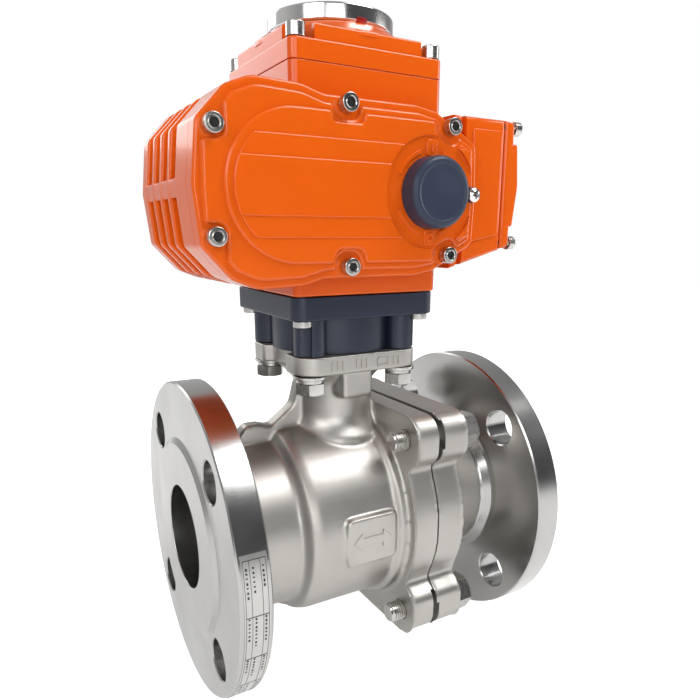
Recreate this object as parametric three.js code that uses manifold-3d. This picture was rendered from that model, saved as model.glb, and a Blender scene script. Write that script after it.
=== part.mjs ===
// Motorized valve actuator on a flanged two-piece ball valve.
// Millimetres, +Z up. The origin is the centre of the ball: the pipe runs along X, the stem along Z,
// and the gear cover of the actuator faces -Y. At rest the valve is open.
import * as THREE from 'three';
import { mergeVertices } from 'three/addons/utils/BufferGeometryUtils.js';
import Module from 'manifold-3d';

const wasm = await Module();
wasm.setup();

// ---- driving dimensions -------------------------------------------------------------------------
const gap = 0.3; // between pieces that touch
const reach = 1; // how far a cutting tool runs past the face that it opens

const pipe = {
  boreRadius: 25.3, inletX: -82.8, outletX: 95.2, flangeRadius: 76.2, flangeThickness: 14.2,
  raisedRadius: 46, raisedHeight: 1.6, raisedBevel: 3, boltCircle: 120.65, boltHoleRadius: 9.5,
};
const barrel = {
  radius: 49, shoulderX: -33.5, hubRadius: 43, hubFillet: 4, cavityRadius: 40.6, beadRadius: 51.8,
  beadWidth: 5,
};
const joint = {
  startX: 16, seamX: 31, capEndX: 47.5, discRadius: 55, earHalfWidth: 55.5, earHalfHeight: 58,
  earCorner: 10.5, earBottom: 38, waist: [46.8, 31.5], earRelief: 1.6, boltY: 45, boltZ: 46.5,
  gasketInner: 41.2, gasketOuter: 44, gasketDepth: 2.8, capNeckRadius: 40, capHubRadius: 37,
};
const ball = { radius: 38.5, slotFloor: 31, slotWidth: 10.6 };
const seat = { outerRadius: 35, innerX: 22.7, outerX: 36.7, clearance: 0.4 };
const stem = {
  radius: 9, tangWidth: 10, shoulderRadius: 12.5, shoulderTop: 45.5, roundTop: 88,
  square: 14, top: 103.5,
};
const neck = { radius: 20.5, flareRadius: 28, packingRadius: 14, packingFloor: 60, packingTop: 72 };
const pad = {
  width: 66, corner: 10, bottom: 79.8, top: 88.8, boltOffset: 24.75, boltRadius: 4, holeClearance: 0.4,
  headFlats: 13, headHeight: 5.6, washerRadius: 8, washerThickness: 3.4,
};
const column = {
  width: 75.2, corner: 4, top: 212, wall: 6.6, floor: 128, boreRadius: 14, screwInset: 4.3,
  screwRadius: 2,
};
const columnHalf = column.width / 2;
const adapter = {
  plateBottom: 106.6, plateTop: 117.2, corner: 7, drumRadius: 31, lobeRadius: 7.6,
  boreRadius: 19, screwInset: 6, screwRadius: 2.9, headRadius: 4.3, headHeight: 2.8,
};
const gearbox = {
  axisZ: 162, frontY: -columnHalf - 2.4, rearY: columnHalf, chamberDepth: 8, chamberInset: 6.5, backWall: 3,
  motorRadius: 24.5, motorChamber: 26, motorLength: 56,
};
const chamberY = gearbox.frontY + gearbox.chamberDepth;
const fins = { firstY: -17.9, pitch: 13.4, count: 4, slotWidth: 9.2, bandHalf: 3.8, depth: 8.5 };
const cover = {
  flangeY: gearbox.frontY - 8.5, faceY: gearbox.frontY - 10, wall: 3, plateauInset: 4,
  scallop: 6.4, screwRadius: 1.9, headRadius: 3.5, headHeight: 4, socketFlats: 3, socketDepth: 2.2,
};
const box = {
  left: 46, seamX: 77.1, halfWidth: columnHalf, wall: 6, topZ: 198.7, bottomLeftZ: 128, bottomRightZ: 136.5,
  recessLeft: 49.5, recessRight: 52.5, recessDepth: 4,
};
const wiringCover = {
  startX: 77.4, shoulderX: 81.5, apexX: 87.7, apexZ: 168, bossX: 84, screwRadius: 1.9, headRadius: 3.4,
  headHeight: 4,
};
const conduit = { x: 63, z: 152, radius: 8.5, flats: 22, headHeight: 5 };
const topCover = {
  seamZ: 212.3, stepZ: 220.6, deckZ: 227, bossZ: 231.7, bossBottomRadius: 36, bossTopRadius: 30,
  wall: 3.6, domeRadius: 27.5, windowRadius: 21, notchRadius: 8.5, screwHeadRadius: 4.2, screwHeadHeight: 5.4,
};
const bezel = { outerRadius: 29, innerRadius: 23, bottom: 232, top: 239.4, lip: 20.8 };
const worm = {
  axisX: 23.3, rootRadius: 5.2, outerRadius: 8.3, halfLength: 11, teeth: 24, wheelThickness: 8,
  tipClearance: 0.1, rootClearance: 0.2, backlash: 0.36,
};
const output = { radius: 12.5, shoulderZ: 140, upperRadius: 9, top: 226.6, indicatorZ: 227 };
const train = {
  module: 1, pinionTeeth: 12, idlerTeeth: 44, driveTeeth: 36, y: gearbox.frontY + 1, thickness: 5,
};
const bearing = {
  outerRadius: 11, innerRadius: 5.5, width: 6, frontY: -27, rearY: 20, seatWall: 3, seatHalf: 10,
};
const wormShaft = { radius: 4.9, hexFlats: 8, hexEndY: cover.faceY - 7, rearY: 30, drivePinRadius: 4.2 };
const cap = { radius: 15.2, height: 9.5, wall: 2.4, tabLength: 2.8, tabThickness: 2.2, screwPitch: 6.3 };
const idlerX = worm.axisX - train.module * (train.driveTeeth + train.idlerTeeth) / 2;
const motorX = idlerX - train.module * (train.idlerTeeth + train.pinionTeeth) / 2;
const capHingeX = worm.axisX + cap.radius + cap.tabLength;
const colours = {
  paint: 0xe65a14, steel: 0xa9a39a, bright: 0xd5d3cf, black: 0x11131a, rubber: 0x171a24,
  teflon: 0xf2f2ee, brass: 0xb08d3c, bronze: 0x9c6b30, board: 0x1e5a34, red: 0xb3261e,
  glass: 0xdfe6ea,
};

// ---- shared shapes ------------------------------------------------------------------------------
const toX = new THREE.Matrix4().makeBasis(
  new THREE.Vector3(0, 1, 0), new THREE.Vector3(0, 0, 1), new THREE.Vector3(1, 0, 0));
const group = new THREE.Group();

function solid(geometry) {
  const bare = geometry.clone();
  bare.deleteAttribute('normal');
  bare.deleteAttribute('uv');
  const merged = mergeVertices(bare, 1e-4);
  return new wasm.Manifold(new wasm.Mesh({
    numProp: 3,
    vertProperties: new Float32Array(merged.attributes.position.array),
    triVerts: new Uint32Array(merged.index.array),
  }));
}

function geometryOf(body) {
  const mesh = body.getMesh();
  const geometry = new THREE.BufferGeometry();
  geometry.setAttribute('position', new THREE.BufferAttribute(new Float32Array(mesh.vertProperties), 3));
  geometry.setIndex(new THREE.BufferAttribute(new Uint32Array(mesh.triVerts), 1));
  geometry.computeVertexNormals();
  return geometry;
}

const join = (first, ...rest) => rest.reduce((sum, piece) => sum.add(piece), first);
const cut = (first, ...tools) => tools.reduce((left, tool) => left.subtract(tool), first);

function addPiece(name, body, colour, roughness, metalness) {
  const material = new THREE.MeshStandardMaterial({ color: colour, roughness, metalness });
  const mesh = new THREE.Mesh(geometryOf(body), material);
  mesh.name = name;
  group.add(mesh);
  return mesh;
}

// How many flat sides stand for a round of this radius.
function sidesFor(radius) {
  const [, sides] = [[6.5, 8], [13, 12], [25, 16], [31, 24], [Infinity, 32]].find(([r]) => radius <= r);
  return sides;
}

// A solid of revolution about Z. The profile is a list of [radius, height].
function turnedGeometry(profile) {
  const segments = sidesFor(Math.max(...profile.map(([r]) => r)));
  let area = 0;
  profile.forEach(([r, z], i) => {
    const [r2, z2] = profile[(i + 1) % profile.length];
    area += r * z2 - r2 * z;
  });
  const points = (area > 0 ? profile : [...profile].reverse()).map(([r, z]) => new THREE.Vector2(r, z));
  const onAxis = points.filter((p) => p.x === 0).length > 1;
  if (onAxis) {
    while (points[0].x !== 0 || points[points.length - 1].x !== 0) points.push(points.shift());
  } else {
    points.push(points[0].clone());
  }
  const geometry = new THREE.LatheGeometry(points, segments);
  geometry.rotateX(Math.PI / 2);
  return geometry;
}

const turned = (profile) => solid(turnedGeometry(profile));

// The same about X and about Y: the profile is a list of [place along the axis, radius].
const turnedX = (profile) => solid(turnedGeometry(profile.map(([x, r]) => [r, x])).rotateY(Math.PI / 2));
const turnedY = (profile) => solid(turnedGeometry(profile.map(([y, r]) => [r, y])).rotateX(-Math.PI / 2));

const rod = (radius, low, high) => turned([[0, low], [radius, low], [radius, high], [0, high]]);
const rodX = (radius, low, high) => turnedX([[low, 0], [low, radius], [high, radius], [high, 0]]);
const rodY = (radius, low, high) => turnedY([[low, 0], [low, radius], [high, radius], [high, 0]]);
const ring = (inner, outer, low, high) => (
  turned([[inner, low], [outer, low], [outer, high], [inner, high]]));

const move = (body, x, y, z) => body.translate([x, y, z]);

// A closed outline whose corners are [x, y, radius], with each corner rounded by a short arc.
function rounded(corners, steps = 3) {
  const points = [];
  corners.forEach(([x, y, radius = 0], i) => {
    const corner = new THREE.Vector2(x, y);
    const [px, py] = corners[(i + corners.length - 1) % corners.length];
    const [nx, ny] = corners[(i + 1) % corners.length];
    const back = new THREE.Vector2(px, py).sub(corner).normalize();
    const ahead = new THREE.Vector2(nx, ny).sub(corner).normalize();
    const half = Math.acos(THREE.MathUtils.clamp(back.dot(ahead), -1, 1)) / 2;
    if (radius === 0 || Math.PI / 2 - half < 0.02) {
      points.push(corner);
      return;
    }
    const middle = back.clone().add(ahead).normalize();
    const centre = corner.clone().addScaledVector(middle, radius / Math.sin(half));
    const start = corner.clone().addScaledVector(back, radius / Math.tan(half)).sub(centre);
    const end = corner.clone().addScaledVector(ahead, radius / Math.tan(half)).sub(centre);
    const from = start.angle();
    let sweep = end.angle() - from;
    if (sweep > Math.PI) sweep -= 2 * Math.PI;
    if (sweep < -Math.PI) sweep += 2 * Math.PI;
    for (let k = 0; k <= steps; k += 1) {
      const angle = from + (sweep * k) / steps;
      points.push(new THREE.Vector2(Math.cos(angle), Math.sin(angle)).multiplyScalar(radius).add(centre));
    }
  });
  return points;
}

const rectangle = (halfX, halfY, radius = 0) => rounded([
  [-halfX, -halfY, radius], [halfX, -halfY, radius], [halfX, halfY, radius], [-halfX, halfY, radius]]);

function prismGeometry(points, depth) {
  return new THREE.ExtrudeGeometry(new THREE.Shape(points), { depth, bevelEnabled: false });
}

// Outlines pulled along Z (points are x, y), along Y (points are x, z) and along X (points are y, z).
const prismZ = (points, low, high) => solid(prismGeometry(points, high - low).translate(0, 0, low));
const prismY = (points, low, high) => (
  solid(prismGeometry(points, high - low).rotateX(Math.PI / 2).translate(0, high, 0)));
const prismX = (points, low, high) => (
  solid(prismGeometry(points, high - low).applyMatrix4(toX).translate(low, 0, 0)));
const block = (x0, x1, y0, y1, z0, z1) => (
  solid(new THREE.BoxGeometry(x1 - x0, y1 - y0, z1 - z0)
    .translate((x0 + x1) / 2, (y0 + y1) / 2, (z0 + z1) / 2)));

function hexagon(flats) {
  const radius = flats / Math.sqrt(3);
  return Array.from({ length: 6 }, (_, i) => (
    new THREE.Vector2(radius * Math.cos((i * Math.PI) / 3), radius * Math.sin((i * Math.PI) / 3))));
}

const corners = (offset) => [[-1, -1], [1, -1], [1, 1], [-1, 1]].map(([a, b]) => [a * offset, b * offset]);

// A socket screw along +Z: the head stands on z = 0 and the shank runs down.
function socketScrew(shankRadius, length, headRadius, headHeight, flats, depth) {
  const body = turned([[0, -length], [shankRadius, -length], [shankRadius, 0], [headRadius, 0],
    [headRadius, headHeight - 0.4], [headRadius - 0.4, headHeight], [0, headHeight]]);
  return cut(body, prismZ(hexagon(flats), headHeight - depth, headHeight + reach));
}

// A hexagon bolt along +Z: the head's underside is at z = 0, the shank runs up.
function hexBolt(shankRadius, length, flats, headHeight) {
  const chamfer = 0.8;
  const shank = turned([[0, -0.1], [shankRadius, -0.1], [shankRadius, length - chamfer],
    [shankRadius - chamfer, length], [0, length]]);
  return join(prismZ(hexagon(flats), -headHeight, 0), shank);
}

// ---- valve --------------------------------------------------------------------------------------
function flangeHoles(startX, endX) {
  return [45, 135, 225, 315].map((degrees) => {
    const angle = THREE.MathUtils.degToRad(degrees);
    const hole = rodX(pipe.boltHoleRadius, startX - reach, endX + reach);
    const radius = pipe.boltCircle / 2;
    return move(hole, 0, radius * Math.cos(angle), radius * Math.sin(angle));
  });
}

// The joint flange is a disc with four bolt ears, flat along its top and bottom.
function jointOutline() {
  const [waistY, waistZ] = joint.waist;
  const arcStart = Math.atan2(waistZ, waistY) - 0.12;
  const arcSteps = 5;
  const quarter = [[joint.earHalfWidth, joint.earHalfHeight, joint.earCorner],
    [joint.earHalfWidth, joint.earBottom, 7], [waistY, waistZ, 4]];
  for (let i = 0; i <= arcSteps; i += 1) {
    const angle = arcStart * (1 - i / arcSteps);
    quarter.push([joint.discRadius * Math.cos(angle), joint.discRadius * Math.sin(angle)]);
  }
  const half = [...quarter, ...[...quarter].reverse().slice(1).map(([y, z, r]) => [y, -z, r])];
  return rounded([...half, ...[...half].reverse().map(([y, z, r]) => [-y, z, r])], 3);
}

const boltPlaces = () => [[-1, 1], [1, 1], [1, -1], [-1, -1]].map(([a, b]) => (
  [a * joint.boltY, b * joint.boltZ]));
const jointBoltRadius = 5;

function jointHoles(low, high) {
  return boltPlaces().map(([y, z]) => move(rodX(jointBoltRadius + 0.4, low, high), 0, y, z));
}

// The faces of the two joint flanges are relieved near the ears, above and below the disc.
function earRelief(low, high) {
  const free = joint.earHalfHeight + reach;
  return [-1, 1].map((side) => {
    const near = side * (joint.waist[1] + 4);
    return block(low, high, -joint.earHalfWidth - reach, joint.earHalfWidth + reach,
      Math.min(near, side * free), Math.max(near, side * free));
  });
}

function makeValveBody() {
  const faceX = pipe.inletX;
  const discX = faceX + pipe.raisedHeight;
  const backX = discX + pipe.flangeThickness;
  const hub = barrel.hubRadius;
  const outside = turnedX([
    [faceX, 0], [faceX, pipe.raisedRadius], [discX, pipe.raisedRadius + pipe.raisedBevel],
    [discX, pipe.flangeRadius], [backX, pipe.flangeRadius], [backX, hub + barrel.hubFillet],
    [backX + barrel.hubFillet, hub], [barrel.shoulderX - 3.5, hub],
    [barrel.shoulderX - 2.5, hub + 2.5], [barrel.shoulderX, barrel.radius - 1.2],
    [barrel.shoulderX + 3.5, barrel.radius], [joint.startX - barrel.beadWidth, barrel.radius],
    [joint.startX - barrel.beadWidth + 1.6, barrel.beadRadius], [joint.startX - 1, barrel.beadRadius],
    [joint.startX + 1, barrel.radius], [joint.seamX, barrel.radius], [joint.seamX, 0]]);
  const flange = cut(prismX(jointOutline(), joint.startX, joint.seamX),
    ...earRelief(joint.seamX - joint.earRelief, joint.seamX + reach));
  const neckBody = turned([[0, 30], [neck.radius + 7, 30], [neck.radius + 7, 44],
    [neck.radius + 2.5, 49], [neck.radius, 55], [neck.radius, 72.5], [neck.radius + 2.5, 76.5],
    [neck.flareRadius, pad.bottom + 0.5], [0, pad.bottom + 0.5]]);
  const padBody = prismZ(rectangle(pad.width / 2, pad.width / 2, pad.corner), pad.bottom, pad.top);
  const ribTop = prismY(rounded([[backX - reach, 30], [backX - reach, 46.5], [-56, 45.6, 3], [-50.5, 51.5, 3],
    [-43, 51.5, 3], [-38, 49.5, 3], [-24.5, 60, 5], [-21, 72], [-10, 72], [-10, 30]]), -4.5, 4.5);
  const ribBottom = prismY(rounded([[backX - reach, -30], [backX - reach, -46.5], [-40, -46.5, 5],
    [-28, -53.5, 5], [joint.startX + 2, -55], [joint.startX + 2, -30]]), -5, 5);
  const stopLug = prismZ(rounded([[-11, -10], [-8.5, -27, 1], [8.5, -27, 1], [11, -10]]), 66,
    pad.bottom + 0.5);
  const emblemHalf = [13.5, 12.5];
  const emblemBody = prismY(rectangle(emblemHalf[0], emblemHalf[1], 3), -barrel.radius - 1.6, -38);
  const emblem = move(emblemBody, -5, 0, 1);
  const padLeft = -pad.width / 2;
  const notch = block(padLeft - reach, padLeft + 6, -12, 12, pad.bottom - reach, pad.top + reach);

  const seatX = -seat.outerX;
  const ways = [
    turnedX([[faceX - reach, 0], [faceX - reach, pipe.boreRadius], [seatX - gap, pipe.boreRadius],
      [seatX - gap, seat.outerRadius + gap], [-30.3, seat.outerRadius + gap],
      [-30.3, barrel.cavityRadius], [joint.seamX + reach, barrel.cavityRadius], [joint.seamX + reach, 0]]),
    turned([[0, 30], [stem.shoulderRadius + 0.5, 30], [stem.shoulderRadius + 0.5, stem.shoulderTop + 0.5],
      [stem.radius + gap, stem.shoulderTop + 0.5], [stem.radius + gap, neck.packingFloor],
      [neck.packingRadius, neck.packingFloor], [neck.packingRadius, pad.top + reach],
      [0, pad.top + reach]]),
    rodX(joint.gasketOuter + gap, joint.seamX - joint.gasketDepth, joint.seamX + reach),
    ...flangeHoles(faceX, backX),
    ...jointHoles(joint.startX - reach, joint.seamX + reach),
    ...corners(pad.boltOffset).map(([x, y]) => (
      move(rod(pad.boltRadius + pad.holeClearance, pad.bottom - reach, pad.top + reach), x, y, 0))),
  ];
  const body = join(outside, flange, neckBody, ribTop, ribBottom, stopLug, emblem);
  const headRoom = corners(pad.boltOffset).map(([x, y]) => (
    move(rod(pad.washerRadius + 1, 66, pad.bottom), x, y, 0)));
  return cut(join(cut(body, ...headRoom), cut(padBody, notch)), ...ways);
}

function makeEndCap() {
  const seam = joint.seamX + gap;
  const faceX = pipe.outletX;
  const discX = faceX - pipe.raisedHeight;
  const backX = discX - pipe.flangeThickness;
  const spigot = barrel.cavityRadius - gap;
  const outside = turnedX([
    [seat.innerX + 1.5, 0], [seat.innerX + 1.5, spigot], [seam, spigot], [seam, joint.capNeckRadius + 8],
    [joint.capEndX, joint.capNeckRadius + 8], [joint.capEndX + 4, joint.capNeckRadius + 1],
    [joint.capEndX + 9, joint.capHubRadius], [backX - 6, joint.capHubRadius],
    [backX - 2, joint.capHubRadius + 2], [backX, joint.capHubRadius + 6],
    [backX, pipe.flangeRadius], [discX, pipe.flangeRadius],
    [discX, pipe.raisedRadius + pipe.raisedBevel],
    [faceX, pipe.raisedRadius], [faceX, 0]]);
  const flange = cut(prismX(jointOutline(), seam, joint.capEndX),
    ...earRelief(seam - reach, seam + joint.earRelief));
  return cut(join(outside, flange),
    turnedX([[seat.innerX, 0], [seat.innerX, seat.outerRadius + gap],
      [seat.outerX + gap, seat.outerRadius + gap], [seat.outerX + gap, pipe.boreRadius],
      [faceX + reach, pipe.boreRadius], [faceX + reach, 0]]),
    ...flangeHoles(backX, faceX),
    ...jointHoles(seam - reach, joint.capEndX + reach));
}

// A seat ring: its inner end is hollowed to the ball. side is -1 for the inlet and 1 for the outlet.
function makeSeat(side) {
  const steps = 3;
  const curve = ball.radius + seat.clearance;
  const innerRadius = pipe.boreRadius + gap;
  const lipRadius = Math.sqrt(curve ** 2 - seat.innerX ** 2);
  const profile = [[side * seat.outerX, innerRadius], [side * seat.outerX, seat.outerRadius],
    [side * seat.innerX, seat.outerRadius]];
  for (let i = 0; i <= steps; i += 1) {
    const radius = lipRadius + ((innerRadius - lipRadius) * i) / steps;
    profile.push([side * Math.sqrt(curve ** 2 - radius ** 2), radius]);
  }
  return turnedX(profile);
}

function makeBall() {
  const sphere = solid(new THREE.SphereGeometry(ball.radius, 24, 12).rotateX(Math.PI / 2));
  return cut(sphere,
    rodX(pipe.boreRadius, -ball.radius - reach, ball.radius + reach),
    block(-ball.slotWidth / 2, ball.slotWidth / 2, -ball.radius, ball.radius, ball.slotFloor,
      ball.radius + reach));
}

function makeStem() {
  const tangHalf = stem.tangWidth / 2;
  const tang = block(-tangHalf, tangHalf, -stem.shoulderRadius + 1, stem.shoulderRadius - 1,
    ball.slotFloor + gap, ball.radius + 1.2);
  const shaft = turned([[0, ball.radius + 0.6], [stem.shoulderRadius, ball.radius + 0.6],
    [stem.shoulderRadius, stem.shoulderTop], [stem.radius, stem.shoulderTop],
    [stem.radius, stem.roundTop], [0, stem.roundTop]]);
  const square = prismZ(rectangle(stem.square / 2, stem.square / 2), stem.roundTop - 0.1, stem.top)
    .intersect(rod(stem.radius, stem.roundTop - reach, stem.top + reach));
  return join(tang, shaft, square);
}

function makeGlandNut() {
  const low = neck.packingTop + gap;
  const barrelPart = ring(stem.radius + gap, neck.packingRadius - gap, low, pad.top + 0.1);
  const hex = cut(prismZ(hexagon(30), pad.top + gap, pad.top + 6.3),
    rod(stem.radius + 2.5, pad.top - reach, pad.top + 8));
  const neckRing = ring(stem.radius + gap, neck.packingRadius - gap, pad.top, pad.top + 2);
  return join(barrelPart, neckRing, hex);
}

function addValve() {
  addPiece('valve_body', makeValveBody(), colours.steel, 0.45, 0.9);
  addPiece('end_cap', makeEndCap(), colours.steel, 0.45, 0.9);
  addPiece('seat_inlet', makeSeat(-1), colours.teflon, 0.5, 0);
  addPiece('seat_outlet', makeSeat(1), colours.teflon, 0.5, 0);
  addPiece('body_gasket', turnedX([
    [joint.seamX - joint.gasketDepth + gap, joint.gasketInner],
    [joint.seamX - joint.gasketDepth + gap, joint.gasketOuter],
    [joint.seamX - 0.1, joint.gasketOuter], [joint.seamX - 0.1, joint.gasketInner]]),
  colours.teflon, 0.5, 0);
  addPiece('stem_packing', ring(stem.radius + gap, neck.packingRadius - gap, neck.packingFloor + gap,
    neck.packingTop), colours.teflon, 0.5, 0);
  addPiece('gland_nut', makeGlandNut(), colours.bright, 0.3, 1);
  const length = joint.capEndX - joint.startX + 8.3;
  boltPlaces().forEach(([y, z], i) => {
    const bolt = hexBolt(jointBoltRadius, length, 17, 8.4);
    const mesh = addPiece(`body_bolt_${i + 1}`, bolt, colours.bright, 0.3, 1);
    mesh.rotation.y = -Math.PI / 2;
    mesh.position.set(joint.capEndX + gap, y, z);
  });
  corners(pad.boltOffset).forEach(([x, y], i) => {
    const washer = rod(pad.washerRadius, 0, pad.washerThickness);
    const shankLength = pad.washerThickness + pad.top - pad.bottom + 9;
    const bolt = join(hexBolt(pad.boltRadius, shankLength, pad.headFlats, pad.headHeight), washer);
    const mesh = addPiece(`pad_bolt_${i + 1}`, bolt, colours.bright, 0.3, 1);
    mesh.position.set(x, y, pad.bottom - gap - pad.washerThickness);
  });
}

// ---- adapter between valve and actuator -----------------------------------------------------------
const adapterScrews = () => corners(columnHalf - adapter.screwInset);
const topScrews = () => corners(columnHalf - column.screwInset);

function makeAdapter() {
  const low = pad.top + gap;
  const plate = prismZ(rectangle(columnHalf, columnHalf, adapter.corner), adapter.plateBottom,
    adapter.plateTop);
  const drum = rod(adapter.drumRadius, low, adapter.plateBottom + 0.1);
  const lobes = corners(pad.boltOffset).map(([x, y]) => (
    move(rod(adapter.lobeRadius, low, adapter.plateBottom + 0.1), x, y, 0)));
  const boltHoles = corners(pad.boltOffset).map(([x, y]) => (
    move(rod(pad.boltRadius + pad.holeClearance, low - reach, pad.top + 11), x, y, 0)));
  const headRoom = adapterScrews().map(([x, y]) => (
    move(rod(adapter.headRadius + gap, low - reach, adapter.plateBottom), x, y, 0)));
  const screwHoles = adapterScrews().map(([x, y]) => (
    move(rod(adapter.screwRadius + gap, adapter.plateBottom - reach, adapter.plateTop + reach), x, y, 0)));
  return cut(join(plate, cut(join(drum, ...lobes), ...headRoom)),
    rod(adapter.boreRadius, low - reach, adapter.plateTop + reach), ...boltHoles, ...screwHoles);
}

function addAdapter() {
  addPiece('adapter_bracket', makeAdapter(), colours.black, 0.35, 0.4);
  adapterScrews().forEach(([x, y], i) => {
    const screw = socketScrew(adapter.screwRadius, adapter.plateTop - adapter.plateBottom + 9,
      adapter.headRadius, adapter.headHeight, 4, 1.8);
    const mesh = addPiece(`adapter_screw_${i + 1}`, screw, colours.bright, 0.3, 1);
    mesh.rotation.x = Math.PI;
    mesh.position.set(x, y, adapter.plateBottom - gap);
  });
}

// ---- actuator casing --------------------------------------------------------------------------------
// The outline that the gear cover and the motor end share, as [x, height above the worm axis, radius].
const gearHalf = [
  [51.5, 0, 0], [50.5, 22.5, 5], [27, 34.6, 6], [17, 36.3, 8], [-28, 36.2, 10], [-38, 39, 14],
  [-58, 39.9, 16], [-69, 35.5, 7], [-80.4, 23, 4], [-82.8, 0, 0],
];

function gearOutline(inset = 0) {
  const upper = gearHalf.map(([x, z, r]) => [x, gearbox.axisZ + z, r]);
  const lower = gearHalf.slice(1, -1).reverse().map(([x, z, r]) => [x, gearbox.axisZ - z, r]);
  return rounded(insetCorners([...upper, ...lower], inset));
}

// Moves the sides of an outline of rounded corners inward, and shrinks each corner's radius to match.
function insetCorners(outline, distance) {
  return outline.map(([x, y, radius], i) => {
    const corner = new THREE.Vector2(x, y);
    const [px, py] = outline[(i + outline.length - 1) % outline.length];
    const [nx, ny] = outline[(i + 1) % outline.length];
    const along = corner.clone().sub(new THREE.Vector2(px, py)).normalize();
    const ahead = new THREE.Vector2(nx, ny).sub(corner).normalize();
    const inward = new THREE.Vector2(-along.y - ahead.y, along.x + ahead.x);
    const shift = (2 * distance) / inward.lengthSq();
    return [x + inward.x * shift, y + inward.y * shift, Math.max(radius - distance, 0)];
  });
}

// Cover screws: [x, height above the worm axis].
const coverScrews = [[-74.8, 21], [-75.3, -19], [-18.5, 33.2], [-17.5, -31.3], [34.2, 28.4], [34.1, -27]];

function boxOutline(left, right, inset) {
  const slope = (box.bottomRightZ - box.bottomLeftZ) / (box.seamX - box.left);
  const bottomAt = (x) => box.bottomLeftZ + slope * (x - box.left) + inset;
  return rounded([[left, bottomAt(left), 0], [right, bottomAt(right), 0], [right, box.topZ - inset, 0],
    [left, box.topZ - inset, 0]]);
}

function finSlots() {
  const z = gearbox.axisZ;
  const inner = gearHalf[gearHalf.length - 1][0] + fins.depth;
  const slots = [];
  for (let i = 0; i < fins.count; i += 1) {
    const middle = fins.firstY + i * fins.pitch;
    [1, -1].forEach((side) => {
      const points = rounded([
        [-92, z + side * fins.bandHalf], [inner, z + side * fins.bandHalf, 2.5],
        [inner + 2, z + side * 19.5, 3], [inner + 11, z + side * 30.5, 3], [inner + 24, z + side * 35],
        [inner + 24, z + side * 46], [-92, z + side * 46]], 2);
      const ordered = side > 0 ? points : points.reverse();
      slots.push(prismY(ordered, middle - fins.slotWidth / 2, middle + fins.slotWidth / 2));
    });
  }
  return slots;
}

function makeHousing() {
  const inner = columnHalf - column.wall;
  const z = gearbox.axisZ;
  const low = adapter.plateTop + gap;
  const chamberBack = chamberY + gearbox.backWall;
  const shell = join(
    prismZ(rectangle(columnHalf, columnHalf, column.corner), low, column.top),
    prismY(gearOutline(), gearbox.frontY + gap, gearbox.rearY),
    prismY(boxOutline(box.left, box.seamX, 0), -box.halfWidth, box.halfWidth));
  const recess = block(box.recessLeft, box.recessRight, -box.halfWidth - reach,
    -box.halfWidth + box.recessDepth, z - 48, z + 48);
  const chamber = prismY(gearOutline(gearbox.chamberInset), gearbox.frontY - reach, chamberY);
  const bosses = coverScrews.map(([x, height]) => (
    move(rodY(5.2, gearbox.frontY - 2 * reach, chamberY + reach), x, 0, z + height)));
  const hollow = cut(shell,
    ...finSlots(),
    recess,
    cut(chamber, ...bosses),
    block(-inner, inner, chamberBack + 2, inner, column.floor, column.top + reach),
    move(rodY(gearbox.motorChamber, chamberBack, gearbox.rearY - 4), motorX, 0, z),
    move(rodY(7, chamberY - reach, chamberBack + reach), motorX, 0, z),
    move(rodY(2.8, chamberY - reach, chamberBack + 5), idlerX, 0, z),
    block(inner - reach, box.left + 4, -20, 26, z - 22, z + 26),
    prismY(boxOutline(box.left - 2, box.seamX + reach, box.wall), -box.halfWidth + box.wall,
      box.halfWidth - box.wall),
    rod(column.boreRadius, low - reach, column.floor + reach),
    ...adapterScrews().map(([x, y]) => (
      move(rod(adapter.screwRadius + gap, low - reach, low + 9.5), x, y, 0))),
    ...coverScrews.map(([x, height]) => (
      move(rodY(cover.screwRadius + gap, gearbox.frontY - reach, gearbox.frontY + 7.6), x, 0, z + height))),
    ...topScrews().map(([x, y]) => (
      move(rod(column.screwRadius + gap, column.top - 12, column.top + reach), x, y, 0))),
    ...wiringScrews().map(([y, sz]) => (
      move(rodX(wiringCover.screwRadius + gap, box.seamX - 9, box.seamX + reach), 0, y, sz))),
    move(rodY(conduit.radius, box.halfWidth - box.wall - reach, box.halfWidth + reach),
      conduit.x, 0, conduit.z));
  const seats = [bearing.frontY, bearing.rearY].map((y) => join(
    move(rodY(bearing.outerRadius + bearing.seatWall, y, y + bearing.width), worm.axisX, 0, z),
    block(worm.axisX, inner + reach, y, y + bearing.width, z - bearing.seatHalf, z + bearing.seatHalf)));
  return cut(join(hollow, ...seats), move(rodY(bearing.outerRadius + gap, chamberY - reach,
    bearing.rearY + bearing.width + reach), worm.axisX, 0, z));
}

const wiringScrews = () => [[-1, 1], [1, 1], [1, -1], [-1, -1]].map(([a, b]) => (
  [a * (box.halfWidth - 3.2), b > 0 ? box.topZ - 3.2 : box.bottomRightZ + 3.6]));

function makeGearCover() {
  const z = gearbox.axisZ;
  const flange = prismY(gearOutline(), cover.flangeY, gearbox.frontY);
  const scallops = coverScrews.map(([x, height]) => (
    move(rodY(cover.scallop, cover.faceY - reach, cover.flangeY), x, 0, z + height)));
  const plateau = cut(prismY(gearOutline(cover.plateauInset), cover.faceY, cover.flangeY + 0.1), ...scallops);
  const bosses = coverScrews.map(([x, height]) => (
    move(rodY(5.2, cover.faceY, gearbox.frontY + 2 * reach), x, 0, z + height)));
  const pocketBody = prismY(gearOutline(gearbox.chamberInset), cover.faceY + cover.wall,
    gearbox.frontY + reach);
  const pocket = cut(pocketBody, ...bosses);
  return cut(join(flange, plateau), pocket,
    ...coverScrews.map(([x, height]) => (
      move(rodY(cover.screwRadius + gap, cover.faceY - reach, gearbox.frontY + reach), x, 0, z + height))),
    move(rodY(wormShaft.radius + 0.5, cover.faceY - reach, cover.faceY + 5), worm.axisX, 0, z),
    move(rodY(1.6, cover.faceY - reach, cover.faceY + 8), capHingeX + cap.screwPitch, 0, z));
}

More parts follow.
